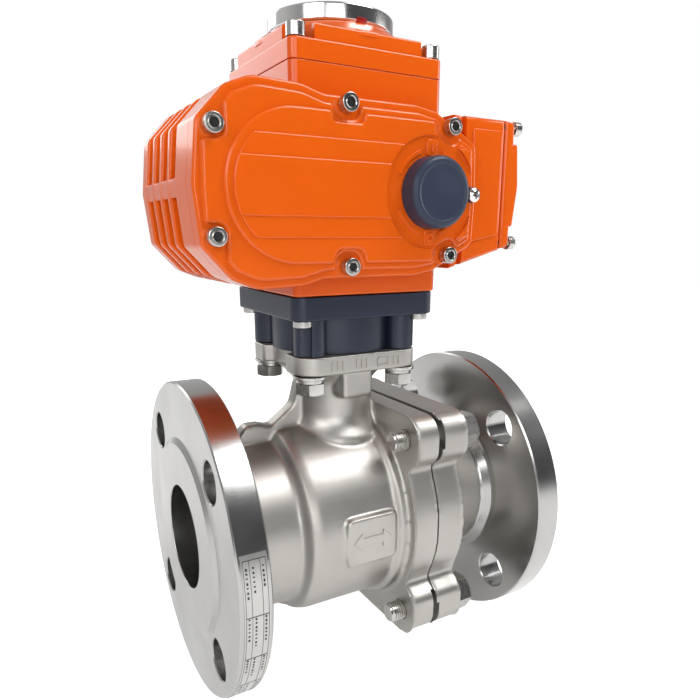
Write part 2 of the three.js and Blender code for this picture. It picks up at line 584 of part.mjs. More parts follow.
function makeTopCover() {
  const screws = topScrews();
  const lower = prismZ(rectangle(columnHalf, columnHalf, column.corner), topCover.seamZ, topCover.stepZ);
  const deckHalf = columnHalf - 1.6;
  const deck = prismZ(rectangle(deckHalf, deckHalf, column.corner), topCover.stepZ - 0.1, topCover.deckZ);
  const notches = screws.map(([x, y]) => (
    move(rod(topCover.notchRadius, topCover.stepZ, topCover.deckZ + reach), x, y, 0)));
  const boss = turned([[0, topCover.deckZ - 0.1], [topCover.bossBottomRadius, topCover.deckZ - 0.1],
    [topCover.bossTopRadius, topCover.bossZ], [0, topCover.bossZ]]);
  const inner = columnHalf - column.wall;
  const hollow = prismZ(rectangle(inner, inner, 4), topCover.seamZ - reach, topCover.stepZ - topCover.wall);
  const dome = rod(topCover.domeRadius, topCover.seamZ, topCover.deckZ);
  return cut(join(lower, cut(join(deck, boss), ...notches)), hollow, dome,
    rod(topCover.windowRadius, topCover.seamZ, topCover.bossZ + reach),
    ...screws.map(([x, y]) => (
      move(rod(column.screwRadius + gap, topCover.seamZ - reach, topCover.deckZ), x, y, 0))));
}

function makeWiringCover() {
  const start = wiringCover.startX;
  const low = box.bottomRightZ + 0.4;
  const outline = rounded([[start, low], [wiringCover.shoulderX, low + 1.4, 2],
    [wiringCover.apexX, wiringCover.apexZ, 6], [wiringCover.shoulderX, box.topZ - 0.4, 2],
    [start, box.topZ]]);
  const shell = prismY(outline, -box.halfWidth, box.halfWidth);
  const inset = 7;
  const pocket = block(start - reach, start + 2.6, -box.halfWidth + inset, box.halfWidth - inset,
    low + inset, box.topZ - inset);
  const bosses = wiringScrews().map(([y, z]) => (
    move(rodX(3.2, start, wiringCover.bossX), 0, y, z)));
  return cut(join(shell, ...bosses), pocket,
    ...wiringScrews().map(([y, z]) => (
      move(rodX(wiringCover.screwRadius + gap, start - reach, wiringCover.bossX + reach), 0, y, z))));
}

function addCasing() {
  const z = gearbox.axisZ;
  addPiece('gearbox_housing', makeHousing(), colours.paint, 0.35, 0.1);
  addPiece('gear_cover', makeGearCover(), colours.paint, 0.35, 0.1);
  addPiece('top_cover', makeTopCover(), colours.paint, 0.35, 0.1);
  addPiece('wiring_cover', makeWiringCover(), colours.paint, 0.35, 0.1);
  coverScrews.forEach(([x, height], i) => {
    const screw = socketScrew(cover.screwRadius, gearbox.frontY - cover.flangeY + 6.5, cover.headRadius,
      cover.headHeight, cover.socketFlats, cover.socketDepth);
    const mesh = addPiece(`cover_screw_${i + 1}`, screw, colours.bright, 0.3, 1);
    mesh.rotation.x = Math.PI / 2;
    mesh.position.set(x, cover.flangeY - gap, z + height);
  });
  topScrews().forEach(([x, y], i) => {
    const screw = socketScrew(column.screwRadius, topCover.stepZ - topCover.seamZ + 11,
      topCover.screwHeadRadius, topCover.screwHeadHeight, 3.4, 3);
    const mesh = addPiece(`top_screw_${i + 1}`, screw, colours.bright, 0.3, 1);
    mesh.position.set(x, y, topCover.stepZ + gap);
  });
  wiringScrews().forEach(([y, sz], i) => {
    const screw = socketScrew(wiringCover.screwRadius, wiringCover.bossX - wiringCover.startX + 8,
      wiringCover.headRadius, wiringCover.headHeight, 3, 2.2);
    const mesh = addPiece(`wiring_screw_${i + 1}`, screw, colours.bright, 0.3, 1);
    mesh.rotation.y = Math.PI / 2;
    mesh.position.set(wiringCover.bossX + gap, y, sz);
  });
  addPiece('indicator_bezel', turned([[bezel.lip, bezel.bottom], [bezel.outerRadius, bezel.bottom],
    [bezel.outerRadius, bezel.top - 1], [bezel.outerRadius - 1, bezel.top], [bezel.innerRadius, bezel.top],
    [bezel.innerRadius, bezel.bottom + 2.4], [bezel.lip, bezel.bottom + 2.4]]), colours.bright, 0.15, 1);
  addPiece('indicator_window', turned([[0, bezel.bottom + 2.7], [bezel.innerRadius - gap, bezel.bottom + 2.7],
    [bezel.innerRadius - gap, bezel.bottom + 5], [bezel.innerRadius - 4, bezel.bottom + 6.6],
    [0, bezel.bottom + 7.2]]), colours.glass, 0.05, 0);
  const plug = join(rod(conduit.radius - gap, -box.wall, 0.1), prismZ(hexagon(conduit.flats), 0,
    conduit.headHeight));
  const plugMesh = addPiece('conduit_plug', plug, colours.black, 0.5, 0);
  plugMesh.rotation.x = -Math.PI / 2;
  plugMesh.position.set(conduit.x, box.halfWidth + gap, conduit.z);
}

// ---- drive ----------------------------------------------------------------------------------------
// A gear about Z with straight-sided teeth. twistLead is the length of a full turn of its helix.
function makeGear(teeth, rootRadius, outerRadius, pitchHalfAngle, boreRadius, low, high,
  twistLead = Infinity) {
  const points = [];
  const step = (2 * Math.PI) / teeth;
  for (let i = 0; i < teeth; i += 1) {
    const middle = i * step;
    [[rootRadius, -1.55], [outerRadius, -0.45], [outerRadius, 0.45], [rootRadius, 1.55]].forEach(([r, k]) => {
      const angle = middle + k * pitchHalfAngle;
      points.push(new THREE.Vector2(r * Math.cos(angle), r * Math.sin(angle)));
    });
  }
  const shape = new THREE.Shape(points);
  const steps = twistLead === Infinity ? 1 : 3;
  const depth = high - low;
  const geometry = new THREE.ExtrudeGeometry(shape, { depth, bevelEnabled: false, steps });
  geometry.translate(0, 0, -depth / 2);
  twistGeometry(geometry, twistLead);
  geometry.translate(0, 0, low + depth / 2);
  return cut(solid(geometry), rod(boreRadius, low - reach, high + reach));
}

// A spur gear of the front train, about Y at its own x on the worm axis height.
function spurGear(teeth, boreRadius) {
  const pitch = (train.module * teeth) / 2;
  const toothHalf = (Math.PI * train.module / 4 - 0.2) / pitch;
  const body = makeGear(teeth, pitch - 1.3 * train.module, pitch + 0.85 * train.module, toothHalf, boreRadius,
    0, train.thickness);
  return body.rotate([90, 0, 0]).translate([0, train.y + train.thickness, 0]);
}

// Twists an extruded geometry about Z: a full turn for each lead of its length.
function twistGeometry(geometry, lead) {
  const place = geometry.attributes.position;
  for (let i = 0; i < place.count; i += 1) {
    const angle = (2 * Math.PI * place.getZ(i)) / lead;
    const [x, y] = [place.getX(i), place.getY(i)];
    place.setXY(i, x * Math.cos(angle) - y * Math.sin(angle), x * Math.sin(angle) + y * Math.cos(angle));
  }
  return geometry;
}

// The worm's section across its axis: as it twists along the axis, its lobe becomes a straight-sided thread.
function makeWorm() {
  const count = 12;
  const tipEnd = 0.13;
  const flankEnd = 0.36;
  const points = Array.from({ length: count }, (_, i) => {
    const phase = i / count - 0.5;
    const rise = THREE.MathUtils.clamp((flankEnd - Math.abs(phase)) / (flankEnd - tipEnd), 0, 1);
    const radius = THREE.MathUtils.lerp(worm.rootRadius, worm.outerRadius, rise);
    const angle = 2 * Math.PI * phase;
    return new THREE.Vector2(Math.cos(angle), Math.sin(angle)).multiplyScalar(radius);
  });
  const depth = 2 * worm.halfLength;
  const steps = Math.round((depth / wormLead()) * count);
  const geometry = new THREE.ExtrudeGeometry(new THREE.Shape(points), { depth, steps, bevelEnabled: false });
  geometry.translate(0, 0, -worm.halfLength);
  return solid(twistGeometry(geometry, wormLead()).rotateX(-Math.PI / 2));
}

const wheelPitch = () => worm.axisX - (worm.rootRadius + worm.outerRadius) / 2 - 0.05;
const wormLead = () => (2 * Math.PI * wheelPitch()) / worm.teeth;

function makeWormShaft() {
  const front = turnedY([[wormShaft.hexEndY + 6, 0], [wormShaft.hexEndY + 6, wormShaft.radius - 0.3],
    [gearbox.frontY - 1, wormShaft.radius - 0.3], [gearbox.frontY - 1, wormShaft.drivePinRadius],
    [chamberY - 1, wormShaft.drivePinRadius], [chamberY - 1, wormShaft.radius],
    [0.5 - worm.halfLength, wormShaft.radius], [0.5 - worm.halfLength, 0]]);
  const rear = rodY(wormShaft.radius, worm.halfLength - 0.5, wormShaft.rearY);
  const hex = prismY(hexagon(wormShaft.hexFlats), wormShaft.hexEndY, wormShaft.hexEndY + 7);
  return join(makeWorm(), front, rear, hex);
}

// A switch cam: a disc with one lobe. lobeStep turns the lobe round by eighteenths of a turn.
function makeCam(height, lobeStep) {
  const count = 18;
  const points = Array.from({ length: count }, (_, i) => {
    const lobe = (i - lobeStep + count) % count < 3;
    const angle = (i * 2 * Math.PI) / count;
    return new THREE.Vector2(Math.cos(angle), Math.sin(angle)).multiplyScalar(lobe ? 17.5 : 14);
  });
  return prismZ(points, height, height + 5);
}

function addDrive() {
  const z = gearbox.axisZ;
  addPiece('ball', makeBall(), colours.bright, 0.12, 1);
  addPiece('stem', makeStem(), colours.bright, 0.25, 1);
  const socket = stem.square / 2 + gap;
  const couplingLow = pad.top + 6.3 + gap;
  const couplingTop = adapter.plateTop - 0.5;
  addPiece('drive_coupling', cut(rod(16, couplingLow, couplingTop),
    prismZ(rectangle(socket, socket), couplingLow - reach, stem.top + 0.5),
    prismZ(rectangle(socket, socket), stem.top + 2.5, couplingTop + reach)), colours.bright, 0.35, 1);
  const key = stem.square / 2;
  const shaft = join(
    prismZ(rectangle(key, key), stem.top + 3, adapter.plateTop + 1),
    turned([[0, adapter.plateTop], [output.radius, adapter.plateTop], [output.radius, output.shoulderZ],
      [output.upperRadius, output.shoulderZ], [output.upperRadius, output.top - 18], [5, output.top - 18],
      [5, output.top], [0, output.top]]));
  addPiece('output_shaft', shaft, colours.bright, 0.3, 1);
  const pitch = wheelPitch();
  const toothHalf = (wormLead() / 4 - worm.backlash / 2) / pitch;
  const wormSlope = wormLead() / (2 * Math.PI * (worm.axisX - pitch));
  const helixLead = (2 * Math.PI * pitch) / wormSlope;
  const wheelRoot = worm.axisX - worm.outerRadius - worm.tipClearance;
  const wheelOuter = worm.axisX - worm.rootRadius - worm.rootClearance;
  const wheel = makeGear(worm.teeth, wheelRoot, wheelOuter, toothHalf,
    output.upperRadius + gap, z - worm.wheelThickness / 2, z + worm.wheelThickness / 2, helixLead);
  const boss = ring(output.upperRadius + gap, 13, z - 10, z + 10);
  addPiece('worm_wheel', join(wheel, boss), colours.bronze, 0.35, 1);
  const cams = join(rod(12.2, 180, 197), makeCam(182, 1), makeCam(190, 6));
  addPiece('switch_cams', cut(cams, rod(output.upperRadius + gap, 179, 198)), colours.red, 0.5, 0);
  addPiece('indicator_disc', cut(rod(17.5, output.indicatorZ, output.indicatorZ + 3)
    .add(rod(8, output.indicatorZ - 6, output.indicatorZ + 0.1)),
  rod(5.6, output.indicatorZ - 8, output.indicatorZ)), colours.red, 0.5, 0);
  const shaftMesh = addPiece('worm_shaft', makeWormShaft(), colours.bright, 0.3, 1);
  shaftMesh.position.set(worm.axisX, 0, z);
  const drive = addPiece('drive_gear', spurGear(train.driveTeeth, wormShaft.drivePinRadius + gap),
    colours.brass, 0.35, 1);
  drive.position.set(worm.axisX, 0, z);
  const idlerBody = join(spurGear(train.idlerTeeth, 2),
    rodY(2.5, train.y - 1, chamberY + 6.5), rodY(6, train.y, chamberY - 0.6));
  const idler = addPiece('idler_gear', idlerBody, colours.brass, 0.35, 1);
  idler.position.set(idlerX, 0, z);
  idler.rotation.y = Math.PI / train.idlerTeeth; // half a tooth, so that it meshes on both sides
  const pinionBody = join(spurGear(train.pinionTeeth, 1.5),
    rodY(2.4, train.y - 1, chamberY + gearbox.backWall + 1));
  const pinion = addPiece('motor_pinion', pinionBody, colours.bright, 0.3, 1);
  pinion.position.set(motorX, 0, z);
  const back = chamberY + gearbox.backWall + gap;
  const motor = cut(join(rodY(gearbox.motorRadius, back, back + gearbox.motorLength),
    rodY(6.5, back - 2.5, back + 1)), rodY(2.4 + gap, back - 4, back + 3));
  addPiece('motor', move(motor, motorX, 0, z), colours.bright, 0.4, 0.8);
  [['worm_bearing_front', bearing.frontY], ['worm_bearing_rear', bearing.rearY]].forEach(([name, y]) => {
    const piece = turnedY([[y, bearing.innerRadius], [y, bearing.outerRadius],
      [y + bearing.width, bearing.outerRadius], [y + bearing.width, bearing.innerRadius]]);
    addPiece(name, move(piece, worm.axisX, 0, z), colours.bright, 0.25, 1);
  });
}

function addElectrics() {
  const inner = box.halfWidth - box.wall;
  addPiece('terminal_board', join(block(55, 57, -inner + 4, inner - 4, 146, 188),
    block(56.5, 66, -inner + 6, inner - 6, 150, 160), block(56.5, 68, -12, 12, 168, 182)),
  colours.board, 0.5, 0);
  const switchBack = columnHalf - column.wall - 3;
  [['limit_switch_open', 182], ['limit_switch_close', 190]].forEach(([name, height]) => {
    addPiece(name, join(block(-12, 8, switchBack - 7.5, switchBack, height, height + 6),
      block(-1.5, 1.5, switchBack - 8.6, switchBack - 7, height + 2, height + 4)), colours.black, 0.5, 0);
  });
}

function addOverrideCap() {
  const z = gearbox.axisZ;
  const baseY = cover.faceY - gap;
  const frontY = baseY - cap.height;
  const shell = turnedY([[baseY, cap.radius - cap.wall], [baseY, cap.radius], [frontY + 2, cap.radius],
    [frontY + 0.6, cap.radius - 0.6], [frontY, cap.radius - 2.2], [frontY, 0], [frontY + cap.wall, 0],
    [frontY + cap.wall, cap.radius - cap.wall]]);
  const tab = block(cap.radius - 1.6, cap.radius + cap.tabLength, baseY - cap.tabThickness, baseY, -3.2, 3.2);
  const mesh = addPiece('override_cap', join(shell, tab), colours.rubber, 0.6, 0);
  mesh.position.set(worm.axisX, 0, z);
  const screw = turned([[0, -7], [1.3, -7], [1.3, 0], [3.6, 0], [3.3, 1.1], [2, 1.9], [0, 2.2]]);
  const keeper = addPiece('cap_screw', screw, colours.bright, 0.25, 1);
  keeper.rotation.x = Math.PI / 2;
  keeper.position.set(capHingeX + cap.screwPitch, baseY, z);
}

addValve();
addAdapter();
addCasing();
addDrive();
addElectrics();
addOverrideCap();

export default group;
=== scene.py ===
import math
import random
import bmesh
import bpy
from mathutils import Matrix, Vector


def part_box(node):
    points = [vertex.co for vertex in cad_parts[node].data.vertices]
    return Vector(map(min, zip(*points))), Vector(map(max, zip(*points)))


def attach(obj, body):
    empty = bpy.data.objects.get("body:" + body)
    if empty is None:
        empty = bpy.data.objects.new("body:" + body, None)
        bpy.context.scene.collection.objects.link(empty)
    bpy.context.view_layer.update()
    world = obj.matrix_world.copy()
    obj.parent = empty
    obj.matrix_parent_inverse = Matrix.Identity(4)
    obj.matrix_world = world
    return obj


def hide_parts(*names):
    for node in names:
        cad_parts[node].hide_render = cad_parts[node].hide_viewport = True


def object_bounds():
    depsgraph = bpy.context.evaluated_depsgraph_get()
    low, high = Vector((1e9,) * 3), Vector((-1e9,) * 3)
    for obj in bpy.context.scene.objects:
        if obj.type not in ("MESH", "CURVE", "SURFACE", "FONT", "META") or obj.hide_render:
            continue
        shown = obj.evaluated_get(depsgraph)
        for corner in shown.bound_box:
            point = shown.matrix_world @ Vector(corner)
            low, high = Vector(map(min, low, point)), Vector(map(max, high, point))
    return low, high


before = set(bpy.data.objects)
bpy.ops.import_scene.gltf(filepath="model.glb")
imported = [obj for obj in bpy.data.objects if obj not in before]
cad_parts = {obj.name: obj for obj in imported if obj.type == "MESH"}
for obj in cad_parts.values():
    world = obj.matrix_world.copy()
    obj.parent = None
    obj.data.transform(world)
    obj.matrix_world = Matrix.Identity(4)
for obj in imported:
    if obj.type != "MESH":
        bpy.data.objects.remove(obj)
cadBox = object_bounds()
mm = 0.001
random.seed(7)
axisMaps = {  # (across, up, along) to the row frame
    "x": lambda u, v, w: (w, u, v),
    "y": lambda u, v, w: (u, w, v),
    "z": lambda u, v, w: (u, v, w),
}


def span(node):  # lowest and highest corner of a node, in millimetres
    low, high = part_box(node)
    return [v / mm for v in low], [v / mm for v in high]


def middle(node):
    low, high = span(node)
    return [(a + b) / 2 for a, b in zip(low, high)]


def across(point, axis):  # the two coordinates square to an axis
    return [value for value, name in zip(point, "xyz") if name != axis]


def placesOf(prefix, axis="z"):  # where four numbered nodes stand, seen along an axis
    return [across(middle(f"{prefix}_{i}"), axis) for i in range(1, 5)]


# ---- outlines, in millimetres ----

def rounded(corners, steps=5):  # corners are (u, v, radius)
    points = []
    for i, corner in enumerate(corners):
        here = Vector(corner[:2])
        radius = corner[2] if len(corner) > 2 else 0
        back = (Vector(corners[i - 1][:2]) - here).normalized()
        ahead = (Vector(corners[(i + 1) % len(corners)][:2]) - here).normalized()
        half = math.acos(max(-1, min(1, back.dot(ahead)))) / 2
        if radius == 0 or math.pi / 2 - half < 0.02:
            points.append(here)
            continue
        centre = here + (back + ahead).normalized() * radius / math.sin(half)
        start = here + back * radius / math.tan(half) - centre
        end = here + ahead * radius / math.tan(half) - centre
        first = math.atan2(start.y, start.x)
        sweep = (math.atan2(end.y, end.x) - first + math.pi) % (2 * math.pi) - math.pi
        for k in range(steps + 1):
            angle = first + sweep * k / steps
            points.append(centre + Vector((math.cos(angle), math.sin(angle))) * radius)
    return points


def inset(points, distance):  # counterclockwise outlines shrink for a distance above 0
    moved = []
    for i, here in enumerate(points):
        along = (here - points[i - 1]).normalized()
        ahead = (points[(i + 1) % len(points)] - here).normalized()
        inward = Vector((-along.y - ahead.y, along.x + ahead.x))
        moved.append(here + inward * (2 * distance / max(inward.length_squared, 0.8)))
    return moved


def insetCorners(corners, distance):
    places = inset([Vector(c[:2]) for c in corners], distance)
    return [(p.x, p.y, max((c[2] if len(c) > 2 else 0) - distance, 0)) for p, c in zip(places, corners)]


def circle(radius, centre=(0, 0), sides=48):
    turns = [2 * math.pi * i / sides for i in range(sides)]
    return [Vector((centre[0] + radius * math.cos(a), centre[1] + radius * math.sin(a))) for a in turns]


def box(halfU, halfV, radius=0, centre=(0, 0), steps=5):
    u, v = centre
    return rounded([(u - halfU, v - halfV, radius), (u + halfU, v - halfV, radius),
                    (u + halfU, v + halfV, radius), (u - halfU, v + halfV, radius)], steps)


# ---- solids ----

def loft(rings, closed=False):  # rings of equal counts; a ring of one point is a pole
    bm = bmesh.new()
    rows = [[bm.verts.new(Vector(p) * mm) for p in ring] for ring in rings]
    for a, b in zip(rows, rows[1:] + (rows[:1] if closed else [])):
        count = max(len(a), len(b))
        for i in range(count if len(a) + len(b) > 2 else 0):
            j = (i + 1) % count
            corners = [a[i % len(a)], a[j % len(a)], b[j % len(b)], b[i % len(b)]]
            bm.faces.new(list(dict.fromkeys(corners)))
    if not closed:
        for row in (rows[0], rows[-1]):
            if len(row) > 2:
                bm.faces.new(row)
    bmesh.ops.recalc_face_normals(bm, faces=bm.faces)
    return bm


def prism(outline, low, high, axis="z", edges=(0, 0), steps=3):  # edges are the rounding at each end
    rings = []
    place = axisMaps[axis]

    def addRing(distance, height):
        rings.append([place(p.x, p.y, height) for p in (inset(outline, distance) if distance else outline)])

    for k in range(steps + 1 if edges[0] else 1):
        turn = math.pi / 2 * (k / steps if edges[0] else 1)
        addRing(edges[0] * (1 - math.sin(turn)), low + edges[0] * (1 - math.cos(turn)))
    for k in range(steps + 1 if edges[1] else 1):
        turn = math.pi / 2 * (1 - (k / steps if edges[1] else 0))
        addRing(edges[1] * (1 - math.sin(turn)), high - edges[1] * (1 - math.cos(turn)))
    return loft(rings)


def lathe(corners, axis="z", centre=(0, 0), sides=64, steps=4):  # corners are (along, radius, rounding)
    profile = rounded([tuple(c) for c in corners], steps)
    place = axisMaps[axis]
    onAxis = [i for i, p in enumerate(profile) if abs(p.y) < 1e-6]
    if onAxis:
        first = next(i for i in onAxis if abs(profile[i - 1].y) < 1e-6)
        profile = profile[first:] + profile[:first]
    rings = []
    for p in profile:
        turns = [2 * math.pi * i / sides for i in range(sides if abs(p.y) > 1e-6 else 1)]
        ring = [(centre[0] + p.y * math.cos(a), centre[1] + p.y * math.sin(a)) for a in turns]
        rings.append([place(u, v, p.x) for u, v in ring])
    return loft(rings, closed=not onAxis)


def rod(radius, low, high, axis="z", centre=(0, 0), edges=(0, 0), sides=48):
    return prism(circle(radius, centre, sides), low, high, axis, edges)


def rods(radius, low, high, axis, centres, edges=(0, 0), sides=48):
    return [rod(radius, low, high, axis, centre, edges, sides) for centre in centres]


def block(low, high, radius=0, edge=0.6):
    centre = ((low[0] + high[0]) / 2, (low[1] + high[1]) / 2)
    half = ((high[0] - low[0]) / 2, (high[1] - low[1]) / 2)
    return prism(box(*half, radius, centre), low[2], high[2], "z", (edge, edge))


def hexagon(flats, centre=(0, 0), turn=0, perSide=4):
    turns = [turn + i * math.pi / 3 for i in range(6)]
    corners = [Vector((math.cos(a), math.sin(a))) * flats / math.sqrt(3) for a in turns]
    points = []
    for i in range(6):
        for k in range(perSide):
            points.append(corners[i].lerp(corners[(i + 1) % 6], k / perSide) + Vector(centre))
    return points


def fuse(*solids):  # several meshes in one, still separate shells
    bm = bmesh.new()
    for solid in solids:
        scratch = bpy.data.meshes.new("scratch")
        solid.to_mesh(scratch)
        bm.from_mesh(scratch)
        bpy.data.meshes.remove(scratch)
        solid.free()
    return bm


def toObject(name, bm):
    mesh = bpy.data.meshes.new(name)
    bm.to_mesh(mesh)
    bm.free()
    obj = bpy.data.objects.new(name, mesh)
    bpy.context.scene.collection.objects.link(obj)
    return obj


def takeSolid(obj):  # a helper object's mesh, ready to carve with
    bm = bmesh.new()
    bm.from_mesh(obj.data)
    bpy.data.objects.remove(obj)
    return bm


def applied(obj):  # bakes the modifiers into the mesh
    bpy.context.view_layer.update()
    mesh = bpy.data.meshes.new_from_object(obj.evaluated_get(bpy.context.evaluated_depsgraph_get()))
    obj.modifiers.clear()
    obj.data = mesh
    return obj


def boolean(obj, solid, operation):
    tool = toObject("tool", solid)
    modifier = obj.modifiers.new("boolean", "BOOLEAN")
    modifier.object = tool
    modifier.operation = operation
    modifier.solver = "MANIFOLD"
    applied(obj)
    bpy.data.objects.remove(tool)
    return obj


def carve(obj, *solids):
    return boolean(obj, fuse(*solids), "DIFFERENCE") if solids else obj


def weld(obj, *solids):
    for solid in solids:
        boolean(obj, solid, "UNION")
    return obj


def keepLargest(obj):  # drops the small bubbles that the remesh leaves inside
    bm = bmesh.new()
    bm.from_mesh(obj.data)
    waiting, islands = set(bm.verts), []
    while waiting:
        front = [waiting.pop()]
        island = list(front)
        while front:
            vert = front.pop()
            for edge in vert.link_edges:
                other = edge.other_vert(vert)
                if other in waiting:
                    waiting.remove(other)
                    front.append(other)
                    island.append(other)
        islands.append(island)
    islands.sort(key=len)
    bmesh.ops.delete(bm, geom=[vert for island in islands[:-1] for vert in island], context="VERTS")
    bm.to_mesh(obj.data)
    bm.free()
    return obj


def cast(obj, voxel, passes):  # melts overlapping shells into one soft-edged casting
    remesh = obj.modifiers.new("remesh", "REMESH")
    remesh.mode = "VOXEL"
    remesh.voxel_size = voxel * mm
    smooth = obj.modifiers.new("smooth", "SMOOTH")
    smooth.factor = 0.5
    smooth.iterations = passes
    return keepLargest(applied(obj))


def finishPiece(obj, look, body="casing", nodes=(), angle=32):
    bm = bmesh.new()
    bm.from_mesh(obj.data)
    bmesh.ops.remove_doubles(bm, verts=bm.verts, dist=1e-6)
    for face in bm.faces:
        face.smooth = True
    for edge in bm.edges:
        edge.smooth = len(edge.link_faces) == 2 and edge.calc_face_angle(0) < math.radians(angle)
    bm.to_mesh(obj.data)
    bm.free()
    obj.data.materials.clear()
    obj.data.materials.append(materials[look])
    flat = obj.modifiers.new("flat", "WEIGHTED_NORMAL")  # keeps broad faces flat beside rounded edges
    flat.keep_sharp = True
    flat.weight = 90
    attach(obj, body)
    if nodes:
        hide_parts(*nodes)
    return obj


# ---- shader groups ----

def newGroup(name, inputs, outputs):
    group = bpy.data.node_groups.new(name, "ShaderNodeTree")
    for label, value in inputs.items():
        group.interface.new_socket(label, in_out="INPUT", socket_type="NodeSocketFloat").default_value = value
    for label in outputs:
        group.interface.new_socket(label, in_out="OUTPUT", socket_type="NodeSocketFloat")
    return group, group.nodes.new("NodeGroupInput"), group.nodes.new("NodeGroupOutput")


def mathNode(tree, operation, a, b=None):
    node = tree.nodes.new("ShaderNodeMath")
    node.operation = operation
    for i, value in enumerate((a, b)):
        if isinstance(value, (int, float)):
            node.inputs[i].default_value = value
        elif value is not None:
            tree.links.new(value, node.inputs[i])
    return node.outputs[0]


def makeGrainGroup():  # fine grain and slow patches, both from 0 to 1
    group, given, made = newGroup("surface_grain", {"Grain Scale": 2200, "Patch Scale": 35, "Detail": 4},
                                  ["Grain", "Patch"])
    place = group.nodes.new("ShaderNodeTexCoord")
    for label, scale in (("Grain", "Grain Scale"), ("Patch", "Patch Scale")):
        noise = group.nodes.new("ShaderNodeTexNoise")
        group.links.new(place.outputs["Object"], noise.inputs["Vector"])
        group.links.new(given.outputs[scale], noise.inputs["Scale"])
        group.links.new(given.outputs["Detail"], noise.inputs["Detail"])
        group.links.new(noise.outputs["Fac"], made.inputs[label])
    return group


def makeTurnedGroup():  # rings left by a lathe round the pipe axis, broken up a little
    group, given, made = newGroup("turned_rings", {"Pitch": 0.0008, "Break Up": 0.25, "Streak Scale": 1800},
                                  ["Rings"])
    place = group.nodes.new("ShaderNodeTexCoord")
    parts = group.nodes.new("ShaderNodeSeparateXYZ")
    group.links.new(place.outputs["Object"], parts.inputs[0])
    squares = [mathNode(group, "POWER", parts.outputs[i], 2) for i in (1, 2)]
    radius = mathNode(group, "SQRT", mathNode(group, "ADD", *squares))
    turn = mathNode(group, "DIVIDE", radius, given.outputs["Pitch"])
    wave = mathNode(group, "SINE", mathNode(group, "MULTIPLY", turn, 2 * math.pi))
    rings = mathNode(group, "ADD", mathNode(group, "MULTIPLY", wave, 0.5), 0.5)
    line = group.nodes.new("ShaderNodeCombineXYZ")
    group.links.new(mathNode(group, "MULTIPLY", radius, given.outputs["Streak Scale"]), line.inputs[0])
    along = mathNode(group, "MULTIPLY", parts.outputs[0], given.outputs["Streak Scale"])
    group.links.new(along, line.inputs[1])
    noise = group.nodes.new("ShaderNodeTexNoise")
    noise.inputs["Scale"].default_value = 1
    group.links.new(line.outputs[0], noise.inputs["Vector"])
    broken = mathNode(group, "MULTIPLY", noise.outputs["Fac"], given.outputs["Break Up"])
    group.links.new(mathNode(group, "ADD", rings, broken), made.inputs["Rings"])
    return group


grainGroup = makeGrainGroup()
turnedGroup = makeTurnedGroup()


def makeMaterial(name, look):
    material = bpy.data.materials.new(name)
    material.use_nodes = True
    tree = material.node_tree
    shader = tree.nodes["Principled BSDF"]
    for label, value in look.get("fixed", {}).items():
        shader.inputs[label].default_value = value
    grain = tree.nodes.new("ShaderNodeGroup")
    grain.node_tree = grainGroup
    grain.inputs["Grain Scale"].default_value = look["grainScale"]
    grain.inputs["Patch Scale"].default_value = look.get("patchScale", 30)
    height = grain.outputs["Grain"]
    if "pitch" in look:
        rings = tree.nodes.new("ShaderNodeGroup")
        rings.node_tree = turnedGroup
        rings.inputs["Pitch"].default_value = look["pitch"] * mm
        height = mathNode(tree, "ADD", mathNode(tree, "MULTIPLY", height, look.get("grainShare", 0.3)),
                          rings.outputs["Rings"])
    mix = tree.nodes.new("ShaderNodeMix")
    mix.data_type = "RGBA"
    mix.inputs["A"].default_value = (*look["colour"], 1)
    mix.inputs["B"].default_value = (*look.get("secondColour", look["colour"]), 1)
    tree.links.new(grain.outputs["Patch"], mix.inputs["Factor"])
    tree.links.new(mix.outputs["Result"], shader.inputs["Base Color"])
    spread = tree.nodes.new("ShaderNodeMapRange")
    spread.inputs["From Min"].default_value = 0.3
    spread.inputs["From Max"].default_value = 0.7
    spread.inputs["To Min"].default_value = look["roughness"][0]
    spread.inputs["To Max"].default_value = look["roughness"][1]
    tree.links.new(grain.outputs["Patch"], spread.inputs["Value"])
    tree.links.new(spread.outputs["Result"], shader.inputs["Roughness"])
    bump = tree.nodes.new("ShaderNodeBump")
    bump.inputs["Strength"].default_value = look["bump"]
    bump.inputs["Distance"].default_value = look.get("bumpDepth", 0.1) * mm
    tree.links.new(height, bump.inputs["Height"])
    tree.links.new(bump.outputs["Normal"], shader.inputs["Normal"])
    return material


